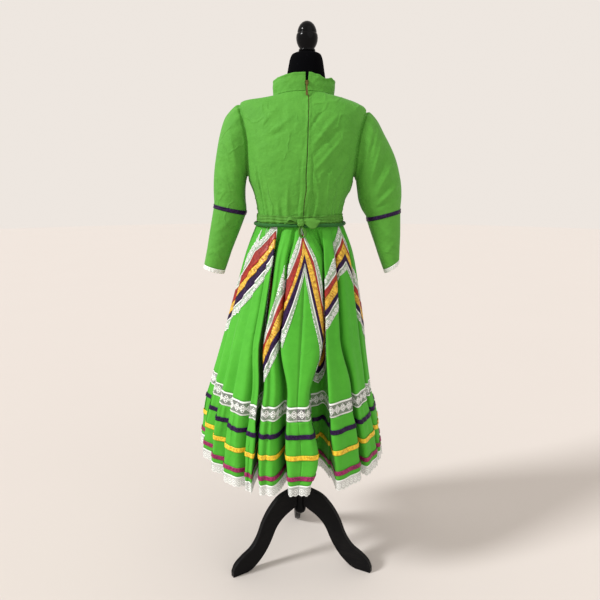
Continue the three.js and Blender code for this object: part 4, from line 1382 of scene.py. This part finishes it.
        def surface(u: float, v: float) -> Vector:
            """A point of the surface.

            Args:
                u: the share of the way round.
                v: the share of the way up.

            Returns:
                The point, in metres.
            """
            fold = u * count
            bottom, top = low(fold), high(fold)
            return raised(fold, lerp(bottom + self.trim_gap, top - self.trim_gap, v))

        columns = count * self.columns_a_fold * fine
        piece = Cloth(name + "_strip", surface, columns, 5, TRIM_THICK, True, True, from_top).build()
        self.wardrobe.dress(piece, finish, [name])
        declare(piece, ["gore_back_right"])

    def trims(self) -> None:
        """Builds the chevrons' five bands and the flounce's three ribbons."""
        for i, (name, finish) in enumerate(self.bands):
            lift = (self.lace_lift if isinstance(finish, Lace) else self.ribbon_lift) * MM
            self.strip(
                name, lambda f, i=i: self.chevron_level(i + 1, f), lambda f, i=i: self.chevron_level(i, f),
                self.place, lift, finish, i == 4)
        for name, top, bottom, finish in self.ribbons:
            self.strip(
                name, lambda f, b=bottom: b, lambda f, t=top: t, self.flounce_place,
                self.flounce_ribbon_lift * MM, finish, False, 2)


# Bodice, collar and sleeves


@dataclass
class Bodice:
    """The bodice's panels, the stand collar, the zip and the front flounce."""

    wardrobe: Wardrobe
    rings: tuple = (
        (1080, 1080, 1080, -124, 122.6, -98, 98), (1106, 1106, 1106, -122.5, 121, -98, 100),
        (1145, 1145, 1145, -129, 130.5, -106, 110), (1174, 1176, 1176, -137.4, 146, -112, 120),
        (1208, 1214, 1214, -150, 156, -117, 128), (1262, 1268, 1266, -160, 170, -119, 130),
        (1324, 1326, 1322, -170, 182, -114, 118), (1372, 1378, 1366, -177, 190, -101, 98),
        (1400, 1410, 1396, -170, 186, -86, 78), (1422, 1430, 1414, -120, 142, -74, 64),
        (1432, 1443, 1422, -75, 95, -65, 56),
    )
    collar_rings: tuple = (
        (1432, 1443, 1422, -75, 95, -65, 56), (1456, 1468, 1444, -77, 98.5, -64, 58),
        (1475, 1492, 1466, -76, 99, -62, 60),
    )
    square: float = 2.35
    turn: float = 0.06
    last_row: int = 10
    shoulder_lift: float = 15.0
    shoulder_row: tuple = (8.1, 0.8)
    placket_edge: float = 1.1
    hidden_deep: float = 0.007
    tape_wide: float = 11.0
    teeth: int = 236
    tooth: tuple = (1.5, 0.7, 0.75)
    flounce_turns: tuple = (207.0, 334.0)
    flounce_seam: int = 1262
    flounce_low: int = 1212
    flounce_lace_low: int = 1192
    flounce_waves: int = 11
    crease_high: float = 1.3
    fan_high: float = 1.7
    crease_reach: float = 130.0
    creases: tuple = (
        Crease((98, 1372), (36, 1296), 6, 3.0), Crease((112, 1344), (30, 1262), 6, -3.2),
        Crease((118, 1316), (44, 1232), 6, 3.2),
        Crease((128, 1290), (60, 1204), 6, -2.8), Crease((134, 1262), (84, 1180), 6, 2.8),
        Crease((60, 1386), (22, 1330), 5, -2.4),
        Crease((24, 1372), (60, 1330), 5, 2.4), Crease((30, 1344), (76, 1300), 5, 2.2),
        Crease((40, 1408), (96, 1384), 6, -2.0),
        Crease((-22, 1372), (-70, 1334), 6, 2.0), Crease((-30, 1340), (-84, 1318), 6, -1.8),
        Crease((-60, 1398), (-104, 1352), 9, 2.0),
        Crease((-124, 1296), (-96, 1208), 8, 1.8), Crease((-90, 1190), (-62, 1112), 8, 2.2),
        Crease((86, 1190), (60, 1112), 8, 2.4),
        Crease((114, 1196), (98, 1114), 6, -2.4), Crease((-121, 1236), (-103, 1130), 2.6, -3.4),
        Crease((-114, 1236), (-97, 1130), 3, 1.8),
        Crease((34, 1190), (38, 1112), 5, -1.8), Crease((-34, 1180), (-36, 1112), 5, 2.0),
        Crease((50, 1180), (52, 1112), 5, 1.8),
    )

    def __post_init__(self) -> None:
        """Prepares the smooth tables."""
        self.body = Profile([(i, *row) for i, row in enumerate(self.rings)])
        self.neck = Profile([(i, *row) for i, row in enumerate(self.collar_rings)])

    def on(self, table: Profile, angle: float, row: float) -> Vector:
        """A point on rings, in millimetres, at an angle and a row that may lie between two.

        Args:
            table: the rings.
            angle: the angle round the body, in radians.
            row: the row.

        Returns:
            The point.
        """
        side, back_z, front_z, *ring = table.at(row)[1:]
        s = math.sin(angle)
        x, y = section(ring, angle + self.turn * max(0.0, s) ** 2, self.square)
        left = max(0.0, math.cos(angle)) ** 2 if table is self.body else 0.0
        raised = self.shoulder_lift * left * bump(row, *self.shoulder_row)
        return Vector((x, y, lerp(side, back_z if s > 0 else front_z, s * s) + raised))

    def ring_point(self, angle: float, row: float) -> Vector:
        """A point of the bodice without its creases, in millimetres."""
        return self.on(self.body, angle, row)

    def place(self, angle: float, row: float) -> Vector:
        """A point of the bodice's outer face, in metres, with its creases.

        Args:
            angle: the angle round the body, in radians.
            row: the row.

        Returns:
            The point.
        """
        p = self.ring_point(angle, row)
        out = Vector((p.x / 1.6, p.y, 0.0)).normalized()
        front = p.y > 0
        across = -p.x if front else p.x
        high = self.crease_high * sum(
            c.at(across, p.z) for c in self.creases if abs(p.z - (c.start[1] + c.end[1]) / 2) < self.crease_reach)
        fan = abs(wrinkle(p.x * 0.026 + p.z * 0.012, p.y * 0.02, p.z * 0.017 - p.x * 0.01))
        high += self.fan_high * bump(fan, 0.0, 0.055) * smooth(-60, 60, across)
        high += 1.3 * wrinkle(p.x * 0.018, p.y * 0.018, p.z * 0.012)
        high += 0.6 * wrinkle(p.x * 0.05, p.y * 0.05, p.z * 0.03)
        high += 1.6 * smooth(1180, 1108, p.z) * math.cos(angle * 34 + 3 * wrinkle(angle * 3, p.z * 0.01, 2.0))
        return (p + out * high) * MM

    def panels(self, sleeves: "Sleeves") -> None:
        """Builds the back panels with the turned edges of the placket, and the front panel.

        Args:
            sleeves: the sleeves, inside which no bodice is made.
        """

        def hidden(p: Vector) -> bool:
            """Whether a point lies well inside a sleeve."""
            return sleeves.inside(p, self.hidden_deep)

        def panel(start: float, end: float) -> Surface:
            """The surface of one panel.

            Args:
                start: the angle where the panel starts, in degrees.
                end: the angle where it ends.

            Returns:
                The panel's surface.
            """
            def surface(u: float, v: float) -> Vector:
                """A point of the surface.

                Args:
                    u: the share of the way round the panel.
                    v: the share of the way up.

                Returns:
                    The point, in metres.
                """
                angle = math.radians(lerp(start, end, u))
                p = self.place(angle, self.last_row * v)
                middle = self.place(math.pi / 2, self.last_row * v)
                if start <= 90 <= end:
                    sign = -1 if end <= 90 else 1
                    away = abs(p.x - middle.x) / MM
                    if abs(angle - math.pi / 2) < 1.2:
                        p = p + Vector((sign * self.placket_edge * MM * math.exp(-away / 9.0), 0.0, 0.0))
                        low = smooth(1300, 1240, middle.z / MM)
                        wave = 1.5 * wrinkle(middle.z * 40, 0.0, 2.0)
                        line = bump(away, lerp(9.0, 16.5, low) + wave, 1.5)
                        roll = 1.1 * bump(away, 1.0, 3.0) - (0.5 + 1.6 * low) * line
                        roll += 1.6 * low * bump(away, 8.5, 5.0)
                        p = p + Vector((0.0, -roll * MM, 0.0))
                return p
            return surface

        for name, start, end, columns in (
            ("bodice_back_left", 0, 90, 120), ("bodice_back_right", 90, 180, 120), ("bodice_front", 180, 360, 150),
        ):
            surface = panel(start, end)
            piece = Cloth(name + "_panel", surface, columns, 150, drop=hidden, sink=sleeves.seam).build()
            self.wardrobe.dress(piece, CREASED_SHADED, [name])
            declare(piece, ["form_body"])

    def collar(self) -> None:
        """Builds the stand collar, crumpled at the right of its top."""

        def surface(u: float, v: float) -> Vector:
            """A point of the surface.

            Args:
                u: the share of the way round from the centre back.
                v: the share of the way up.

            Returns:
                The point, in metres.
            """
            angle = math.pi / 2 + 2 * math.pi * u
            p = self.on(self.neck, angle, 2 * v)
            gap = lerp(2.2, 4.5, v)
            near_left, near_right = math.exp(-u * 60), math.exp(-(1 - u) * 60)
            p.x += gap * near_left - gap * near_right
            out = Vector((p.x - 11, p.y, 0.0)).normalized()
            right = smooth(0.0, 0.05, u) * smooth(0.28, 0.16, u)
            left = smooth(1.0, 0.96, u) * smooth(0.7, 0.8, u)
            crumple = 3.4 * wrinkle(u * 26 - v * 1.6, v * 3.4, 1.0) + 1.8 * wrinkle(u * 60, v * 6 + u * 20, 3.0)
            rumpled = right * crumple * (0.3 + 0.7 * v) + left * 0.25 * crumple
            p += out * (2.0 * wrinkle(u * 12, v * 1.5, 4.0) * v + rumpled)
            p += out * (1.2 * bump(v, 0.0, 0.08) + 0.8 * bump(v, 0.93, 0.05))
            p.z -= (9.0 * bump(u, 0.1, 0.035) + 3.0 * bump(u, 0.04, 0.02) + 1.5 * bump(u, 0.19, 0.03)) * v
            p.z += 1.4 * wrinkle(u * 30, 0.0, 5.0) * v
            return p * MM

        piece = Cloth("stand_collar", surface, 260, 28, 0.0022).build()
        self.wardrobe.dress(piece, CREASED_SHADED, ["collar"])
        declare(piece, ["bodice_front_panel"])

    def zip_closure(self, nodes: dict) -> None:
        """Builds the zip's tape and teeth, and dresses its slider and pull tab.

        Args:
            nodes: the objects of the solids, by name.
        """

        def line(v: float) -> Vector:
            """The zip's middle line.

            Args:
                v: the share of the way up, past 1 on the collar.

            Returns:
                The point, in metres.
            """
            row = self.last_row * v
            if v <= 1:
                return self.place(math.pi / 2, row)
            return self.on(self.neck, math.pi / 2, 0.6 * (v - 1) / 0.04) * MM

        def tape(u: float, v: float) -> Vector:
            """A point of the tape."""
            return line(v * 1.035) + Vector(((u - 0.5) * self.tape_wide * MM, 0.0016, 0.0))

        piece = Cloth("zip_tape_band", tape, 4, 120, 0.0004).build()
        self.wardrobe.dress(piece, TAPE, ["zip"])
        declare(piece, ["bodice_back_left_panel", "bodice_back_right_panel"])
        bm = bmesh.new()
        for i in range(self.teeth):
            p = line(0.012 + 1.02 * i / self.teeth)
            made = bmesh.ops.create_cube(bm, size=1.0)["verts"]
            bmesh.ops.scale(bm, verts=made, vec=[side * MM for side in self.tooth])
            side = 0.32 * MM if i % 2 else -0.32 * MM
            bmesh.ops.translate(bm, verts=made, vec=p + Vector((side, 0.0001, 0.0)))
        piece = finish_mesh(bm, "zip_teeth", soft=False)
        self.wardrobe.dress(piece, BRASS)
        for name in ("zip_slider", "zip_tab"):
            self.wardrobe.keep(nodes[name], BRASS)

    def front_flounce(self) -> None:
        """Builds the gathered flounce across the front and its lace."""

        def row_of(z: float) -> float:
            """The row at a height."""
            i = max(j for j, ring in enumerate(self.rings) if ring[0] <= z)
            return i + (z - self.rings[i][0]) / (self.rings[i + 1][0] - self.rings[i][0])

        def surface(low: float, high: float) -> Surface:
            """A point of the surface.

            Args:
                low: the height of the lower edge, in millimetres.
                high: the height of the upper edge.

            Returns:
                The surface between them.
            """
            def place(u: float, v: float) -> Vector:
                """A point of the flounce.

                Args:
                    u: the share of the way across the front.
                    v: the share of the way up.

                Returns:
                    The point, in metres.
                """
                z = lerp(low, high, v)
                angle = math.radians(lerp(*self.flounce_turns, u))
                p = self.ring_point(angle, row_of(z))
                out = Vector((-math.cos(angle), -math.sin(angle), 0.0))
                fall = clamp((self.flounce_seam - z) / 70)
                uneven = 2 * wrinkle(u * 9, 0.0, z * 0.01)
                wave = 4.0 * math.cos(2 * math.pi * self.flounce_waves * u + uneven) * min(1.0, 2.2 * fall)
                flare = 2.4 + 16 * fall + wave
                return (Vector((p.x, p.y, z)) + out * flare) * MM
            return place

        piece = Cloth("chest_flounce", surface(self.flounce_low, self.flounce_seam), 180, 16).build()
        self.wardrobe.dress(piece, POPLIN, ["front_flounce"])
        declare(piece, ["bodice_front_panel"])
        edging = surface(self.flounce_lace_low, self.flounce_low - 0.3)
        piece = Cloth("chest_flounce_edging", edging, 180, 5, TRIM_THICK, from_top=True).build()
        self.wardrobe.dress(piece, HEM_LACE, ["front_flounce_lace"])
        declare(piece, ["chest_flounce"])


@dataclass
class Sleeves:
    """The two long sleeves, each with its ribbon and the lace of its cuff."""

    wardrobe: Wardrobe
    left: tuple = (
        (-140, 1407, -128, 1222, 52, -2), (-169, 1415, -153, 1207, 60, -2), (-199, 1393, -158, 1190, 66, -2),
        (-220, 1361, -160, 1172, 66, -1), (-240, 1281, -160, 1146, 62, 0), (-250, 1205, -158.5, 1128, 56, 1),
        (-251.6, 1136, -158.7, 1115, 50, 3), (-254, 1122, -162, 1101, 49, 3), (-270, 1042, -193, 1023, 42, 6),
        (-288, 956, -225, 938, 35, 9),
    )
    right: tuple = (
        (160, 1384, 134, 1216, 52, -2), (189, 1393, 160, 1205, 60, -2), (216, 1371, 165, 1188, 66, -2),
        (240, 1332, 168, 1168, 66, -1), (275, 1266, 172, 1144, 62, 0), (295, 1186, 182, 1118, 56, 1),
        (295, 1122, 196, 1096, 50, 3), (295.5, 1108, 199, 1082, 49, 3), (297, 1040, 224, 1012, 42, 6),
        (298, 971, 250.5, 940, 35, 9),
    )
    left_creases: tuple = (
        Crease((-200, 1352), (-176, 1232), 7, 2.6), Crease((-224, 1300), (-196, 1200), 7, -2.4),
        Crease((-238, 1230), (-178, 1168), 7, 2.6), Crease((-240, 1196), (-172, 1142), 6, -2.4),
        Crease((-196, 1092), (-250, 1050), 7, 2.2), Crease((-210, 1030), (-262, 1000), 7, -1.8),
        Crease((-226, 975), (-262, 1022), 7, 1.8),
    )
    right_creases: tuple = (
        Crease((214, 1352), (188, 1236), 6, -3.4), Crease((232, 1316), (198, 1196), 6, 3.6),
        Crease((250, 1296), (208, 1176), 6, -3.4),
        Crease((268, 1258), (214, 1160), 6, 3.6), Crease((282, 1226), (218, 1144), 5, -3.4),
        Crease((290, 1200), (222, 1132), 5, 3.4),
        Crease((292, 1168), (218, 1122), 5, -3.0), Crease((240, 1240), (274, 1180), 5, 2.4),
        Crease((232, 1070), (288, 1020), 7, 2.8),
        Crease((236, 1040), (290, 990), 6, -2.6), Crease((250, 990), (290, 1040), 6, 2.2),
    )

    last_row: int = 9
    ribbon_row: float = 2.04
    ribbon_rows: float = 0.92
    ribbon_lift: float = 0.0017
    lace_fall: float = 0.0135
    hidden_from: float = 1.16
    hidden_deep: float = 0.006
    seam_from: float = 1.19

    def __post_init__(self) -> None:
        """Prepares the smooth tables and no shells yet."""
        self.tables = {
            side: Profile([(i, *row) for i, row in enumerate(table)]) for side, table in
            (("left", self.left), ("right", self.right))
        }
        self.shells: list[BVHTree] = []

    def plain(self, side: str, angle: float, row: float) -> Vector:
        """A point of the sleeve without creases, in millimetres.

        Args:
            side: left or right.
            angle: the angle in radians, 0 at the inner edge and a quarter turn at the back.
            row: the row, from the shoulder down.

        Returns:
            The point.
        """
        out_x, out_z, in_x, in_z, deep, y = self.tables[side].at(row)[1:]
        towards = math.cos(angle)
        flat = math.copysign(abs(math.sin(angle)) ** 0.9, math.sin(angle))
        share = (1 + towards) / 2
        return Vector((lerp(out_x, in_x, share), y - flat * deep, lerp(out_z, in_z, share)))

    def place(self, side: str, angle: float, row: float) -> Vector:
        """A point of the sleeve's outer face, in metres.

        Args:
            side: left or right.
            angle: the angle, in radians.
            row: the row.

        Returns:
            The point.
        """
        p = self.plain(side, angle, row)
        centre = (self.plain(side, 0.0, row) + self.plain(side, math.pi, row)) / 2
        out = (p - centre).normalized()
        creases = self.left_creases if side == "left" else self.right_creases
        back = -math.sin(angle)
        high = sum(c.at(p.x, p.z) for c in creases) * (0.35 + 0.65 * abs(back))
        high += 1.6 * wrinkle(p.x * 0.02, p.y * 0.02 + 9.0, p.z * 0.014)
        outwards = math.pi - abs(angle % (2 * math.pi) - math.pi)
        head = smooth(3.4, 1.0, row) * smooth(math.radians(70), math.radians(150), outwards)
        high += head * (1.6 * math.cos(angle * 17) + 1.0)
        return (p + out * high) * MM

    def tree(self) -> None:
        """Keeps the closed shells of both sleeves, for finding what lies inside them."""
        for side in self.tables:

            def whole(u: float, v: float, side: str = side) -> Vector:
                """A point of the sleeve."""
                return self.place(side, 2 * math.pi * u, self.last_row * v)

            self.shells.append(shell_of(whole, 40, 40))

    def inside(self, p: Vector, margin: float) -> bool:
        """Whether a point lies inside a sleeve by more than a margin in metres."""
        return any(below(shell, p) > margin for shell in self.shells)

    def seam(self, p: Vector) -> float:
        """How far a point of the bodice is drawn in at the armhole's seam, in metres."""
        return max(drawn_in(shell, p) for shell in self.shells)

    def build(self, bodice: Bodice) -> None:
        """Builds both sleeves with their ribbons and laces.

        Args:
            bodice: the bodice, inside which no sleeve is made.
        """
        body = shell_of(lambda u, v: bodice.place(2 * math.pi * u, bodice.last_row * v), 60, 50)

        def hidden(p: Vector) -> bool:
            """Whether a point lies well inside the bodice."""
            return p.z > self.hidden_from and below(body, p) > self.hidden_deep

        for side in self.tables:
            sign = -1 if side == "left" else 1

            def centre(p: Vector, side: str = side) -> Vector:
                """The middle of a sleeve at the height of a point.

                Args:
                    p: a point.
                    side: left or right.

                Returns:
                    The middle of the sleeve beside it.
                """
                rows = self.tables[side].rows
                best = min(rows, key=lambda r: abs((r[2] + r[4]) / 2 * MM - p.z))
                return Vector(((best[1] + best[3]) / 2 * MM, 0.0, p.z))

            def sleeve(u: float, v: float, side: str = side, sign: int = sign) -> Vector:
                """A point of the sleeve."""
                return self.place(side, sign * 2 * math.pi * u, self.last_row - self.last_row * v)

            piece = Cloth(
                "sleeve_cloth_" + side, sleeve, 112, 150, closed=True, hub=centre, drop=hidden,
                sink=lambda p: drawn_in(body, p) if p.z > self.seam_from else 0.0).build()
            self.wardrobe.dress(piece, CREASED_SHADED, ["sleeve_" + side])
            declare(piece, ["bodice_front_panel"])

            def ribbon(u: float, v: float, side: str = side, sign: int = sign) -> Vector:
                """A point of the sleeve's ribbon.

                Args:
                    u: the share of the way round.
                    v: the share of the way up.
                    side: left or right.
                    sign: the turn that faces outwards.

                Returns:
                    The point, in metres.
                """

                def cloth(a: float, r: float) -> Vector:
                    """A point of the sleeve under it, its row counted from the cuff."""
                    return self.place(side, sign * a, self.last_row - r)

                a, r = 2 * math.pi * u, self.ribbon_row + self.ribbon_rows * v
                p = lifted(cloth, lambda a, r: self.ribbon_lift, 0.03, 0.03)(a, r)
                q = lifted(cloth, lambda a, r: -self.ribbon_lift, 0.03, 0.03)(a, r)
                middle = centre(p, side)
                return p if (p - middle).length > (q - middle).length else q

            piece = Cloth("arm_ribbon_" + side, ribbon, 112, 4, TRIM_THICK, True, hub=centre).build()
            self.wardrobe.dress(piece, PURPLE, ["sleeve_ribbon_" + side])
            declare(piece, ["sleeve_cloth_" + side])

            def lace(u: float, v: float, side: str = side, sign: int = sign) -> Vector:
                """A point of the cuff's lace.

                Args:
                    u: the share of the way round.
                    v: the share of the way up.
                    side: left or right.
                    sign: the turn that faces outwards.

                Returns:
                    The point, in metres.
                """
                angle = sign * 2 * math.pi * u
                top, above = self.place(side, angle, self.last_row), self.place(side, angle, self.last_row - 0.4)
                run = (top - above).normalized()
                wave = 0.7 * MM * math.cos(34 * math.pi * u) * (1 - v)
                middle = centre(top, side)
                return top + run * (self.lace_fall * (1 - v)) + (top - middle).normalized() * wave

            piece = Cloth("cuff_edging_" + side, lace, 160, 4, TRIM_THICK, True, False, True, hub=centre).build()
            self.wardrobe.dress(piece, CUFF_LACE, ["cuff_lace_" + side])
            declare(piece, ["sleeve_cloth_" + side])


# Sash and bow


@dataclass
class Sash:
    """The folded sash round the waist, its rolled edge and the bow at the back."""

    wardrobe: Wardrobe
    bodice: Bodice
    cord_z: float = 1078.5
    cord_r: float = 4.6
    cord_ring: tuple = (-125.5, 124.5, -100, 100)
    cord_tuck: float = 0.03
    band_rows: tuple = (0.17, 1.0)
    knot: tuple = (2.0, -110.4, 1088.0, 9.5, 9.0, 10.0)

    def band(self) -> None:
        """Builds the folded band and the rolled edge under it."""

        def band(u: float, v: float) -> Vector:
            """A point of the folded band.

            Args:
                u: the share of the way round.
                v: the share of the way up.

            Returns:
                The point, in metres.
            """
            angle = math.pi / 2 + 2 * math.pi * u
            p = self.bodice.place(angle, lerp(*self.band_rows, v))
            out = Vector((p.x / 1.6, p.y, 0.0)).normalized()
            folds = 2.0 * abs(math.sin(2.6 * math.pi * (v + 0.16 * wrinkle(angle * 2.4, v, 1.0)))) ** 0.7
            return p + out * (2.2 + folds - 1.0 * v**4 - 1.0 * (1 - v) ** 4) * MM

        piece = Cloth("belt_band", band, 220, 20, 0.0012, True).build()
        self.wardrobe.dress(piece, FOLDED_SHADED, ["belt"])
        declare(piece, ["bodice_front_panel"])
        x0, x1 = self.knot[0] - self.knot[3], self.knot[0] + self.knot[3]

        def cord(u: float, v: float) -> Vector:
            """A point of the rolled edge.

            Args:
                u: the share of the way round.
                v: the share of the way round the cord.

            Returns:
                The point, in metres.
            """
            angle = math.pi / 2 + 2 * math.pi * u
            x, y = section(self.cord_ring, angle, self.bodice.square)
            out = Vector((x / 1.6, y, 0.0)).normalized()
            turn = 2 * math.pi * v
            r = self.cord_r * (1 + 0.09 * math.cos(turn * 2 + u * 190) + 0.05 * wrinkle(u * 60, 0.0, 1.0))
            sag = 1.6 * wrinkle(u * 9, 4.0, 0.0)
            middle = Vector((x, y, self.cord_z + sag)) + out * (self.cord_r + 1.0)
            if u < self.cord_tuck:
                middle.x = lerp(x1, middle.x, u / self.cord_tuck)
            if u > 1 - self.cord_tuck:
                middle.x = lerp(x0, middle.x, (1 - u) / self.cord_tuck)
            return (middle + out * r * math.cos(turn) + Vector((0, 0, r * math.sin(turn)))) * MM

        piece = Cloth("rolled_edge", cord, 300, 14, 0.0, True).build()
        cap(piece)
        self.wardrobe.dress(piece, ROLLED, ["belt_cord"])

    def ribbon_loop(self, name: str, node: str, path: Sequence[Sequence[float]], half: Sequence[float],
                    lean: Vector, closed_front: float = 0.0) -> None:
        """Builds one loop or tail of the bow as a strip of doubled cloth on a path.

        Args:
            name: the piece's name.
            node: the solid that it stands for.
            path: points of its middle line, in millimetres.
            half: half its width at each point of the path.
            lean: direction across the strip.
            closed_front: depth of the crown across the strip, in millimetres.
        """
        table = Profile([(i, *p, h) for i, (p, h) in enumerate(zip(path, half))])
        last = len(path) - 1

        def surface(u: float, v: float) -> Vector:
            """A point of the surface.

            Args:
                u: the share of the way along.
                v: the share of the way across.

            Returns:
                The point, in metres.
            """
            x, y, z, wide = table.at(u * last)[1:]
            across = lean.normalized()
            side = 2 * v - 1
            creased = 0.7 * math.sin(9 * v + 3 * u) * (1 - u * 0.5)
            crown = closed_front * (1 - side * side)
            return (Vector((x, y - crown - creased, z)) + across * side * wide) * MM

        middle = Vector(path[len(path) // 2]) * MM
        piece = Cloth(
            name, surface, 48, 14, 0.0018, hub=lambda p: Vector((middle.x, p.y + 0.05, middle.z))).build()
        self.wardrobe.dress(piece, FOLDED_SHADED, [node])
        declare(piece, ["bow_knot_tied"])

    def bow(self) -> None:
        """Builds the knot, the loops at its left and under it, and the tail at its right."""
        x, y, z, wide, deep, high = self.knot
        bm = bmesh.new()
        bmesh.ops.create_uvsphere(bm, u_segments=48, v_segments=28, radius=1.0)
        for vert in bm.verts:
            a, b, c = vert.co
            soft = [math.copysign(abs(t) ** 0.62, t) for t in (a, b, c)]
            turn = math.atan2(c, a)
            ridge = 1 + 0.07 * math.cos(7 * b + 5 * turn) - 0.06 * bump(c, 0.15 + 0.3 * a, 0.16)
            half = (wide * ridge, deep * ridge, high * ridge)
            vert.co = Vector([middle + t * h for middle, t, h in zip((x, y, z), soft, half)]) * MM
        knot = finish_mesh(bm, "bow_knot_tied")
        uv = knot.data.uv_layers.new(name="UVMap")
        for loop in knot.data.loops:
            p = knot.data.vertices[loop.vertex_index].co
            uv.data[loop.index].uv = (p.x, p.z)
        self.wardrobe.dress(knot, FOLDED_SHADED, ["bow_knot"])
        self.ribbon_loop(
            "bow_loops_left", "bow_loop_left",
            ((-6, -108, 1091), (-14, -110, 1095), (-25, -112, 1100), (-34, -110, 1097), (-35, -107, 1090),
             (-26, -106, 1088), (-14, -106, 1089), (-6, -108, 1089)),
            (4, 5.4, 5.6, 5.6, 5.6, 5.4, 5.2, 4), Vector((0.0, 0.55, 0.6)))
        self.ribbon_loop(
            "bow_tail_spread", "bow_tail_right",
            ((9, -111, 1090), (20, -113, 1089), (32, -114, 1086), (44, -113.5, 1084), (53, -112, 1089),
             (57.5, -111, 1093)),
            (4.5, 9.5, 14.5, 12, 5.5, 1.0), Vector((0.16, 0.1, 1.0)), 2.0)
        self.ribbon_loop(
            "bow_loop_hung", "bow_loop_hanging",
            ((0, -110, 1079), (-2, -112, 1068), (-1, -114.5, 1055), (6, -116.5, 1046), (14, -116, 1050),
             (16, -113.5, 1061), (11, -111, 1071), (6, -110, 1079)),
            (4, 5.2, 5.4, 5.6, 5.6, 5.4, 5.2, 4), Vector((0.5, 0.75, 0.1)))


# Studio


@dataclass
class Studio:
    """Pale floor, soft lights and the camera at the photograph's place."""

    eye: tuple = (0.0, -1.8, 1.217)
    down: float = 11.65
    focal_px: float = 606.0
    frame_px: float = 600.0
    sensor: float = 36.0
    floor_radius: float = 14.0
    pale: Colour = (0.6, 0.56, 0.53)
    sky: tuple = (0.9, 0.84, 0.785, 1.0)
    sky_strength: float = 0.77

    def camera(self) -> None:
        """Places the camera."""
        data = bpy.data.cameras.new("camera")
        data.sensor_fit = "HORIZONTAL"
        data.sensor_width = self.sensor
        data.lens = self.sensor * self.focal_px / self.frame_px
        camera = bpy.data.objects.new("camera", data)
        camera.location = self.eye
        camera.rotation_euler = (math.radians(90 - self.down), 0.0, 0.0)
        bpy.context.scene.collection.objects.link(camera)
        bpy.context.scene.camera = camera

    def floor(self) -> None:
        """Lays the floor and lights the surroundings."""
        bm = bmesh.new()
        bmesh.ops.create_circle(bm, cap_ends=True, segments=96, radius=self.floor_radius)
        floor = finish_mesh(bm, "floor", soft=False)
        n = Nodes("floor_pale")
        grain = n.noise(1.5, 3.0)
        colour = n.mix(grain, tuple(c * 0.985 for c in self.pale), self.pale)
        floor.data.materials.append(n.finish(Base_Color=colour, Roughness=0.9))
        world = bpy.data.worlds.new("studio")
        world.use_nodes = True
        background = world.node_tree.nodes["Background"]
        background.inputs["Color"].default_value = self.sky
        background.inputs["Strength"].default_value = self.sky_strength
        bpy.context.scene.world = world

    def light(self, name: str, at: Sequence[float], strength: float, spread: float) -> None:
        """Adds a far soft light that lights the whole floor evenly.

        Args:
            name: its name.
            at: the side that it comes from.
            strength: its strength.
            spread: the angle that it fills, in degrees.
        """
        data = bpy.data.lights.new(name, "SUN")
        data.energy = strength
        data.angle = math.radians(spread)
        lamp = bpy.data.objects.new(name, data)
        lamp.location = at
        lamp.rotation_euler = (-Vector(at)).to_track_quat("-Z", "Y").to_euler()
        bpy.context.scene.collection.objects.link(lamp)

    def build(self) -> None:
        """Sets up the whole studio."""
        self.camera()
        self.floor()
        self.light("key", (-3.4, -1.4, 2.4), 2.5, 12.0)
        self.light("fill", (2.0, -3.0, 2.0), 0.35, 60.0)
        bpy.context.scene.view_settings.view_transform = "Standard"
        bpy.context.scene.view_settings.exposure = 0.3


def main() -> None:
    """Builds the dress, its form and the studio."""
    logging.basicConfig(level=logging.INFO, format="%(name)s: %(message)s")
    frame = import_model()
    Studio().build()
    wardrobe = Wardrobe()
    bodice = Bodice(wardrobe)
    sleeves = Sleeves(wardrobe)
    sleeves.tree()
    form = DressForm(wardrobe)
    form.torso(bodice)
    form.stand()
    bodice.panels(sleeves)
    bodice.collar()
    bodice.zip_closure(frame["nodes"])
    bodice.front_flounce()
    sleeves.build(bodice)
    skirt = Skirt(wardrobe)
    skirt.gores()
    skirt.trims()
    sash = Sash(wardrobe, bodice)
    sash.band()
    sash.bow()
    bpy.context.view_layer.update()
    log.info("all pieces are made")


if __name__ == "__main__":
    main()
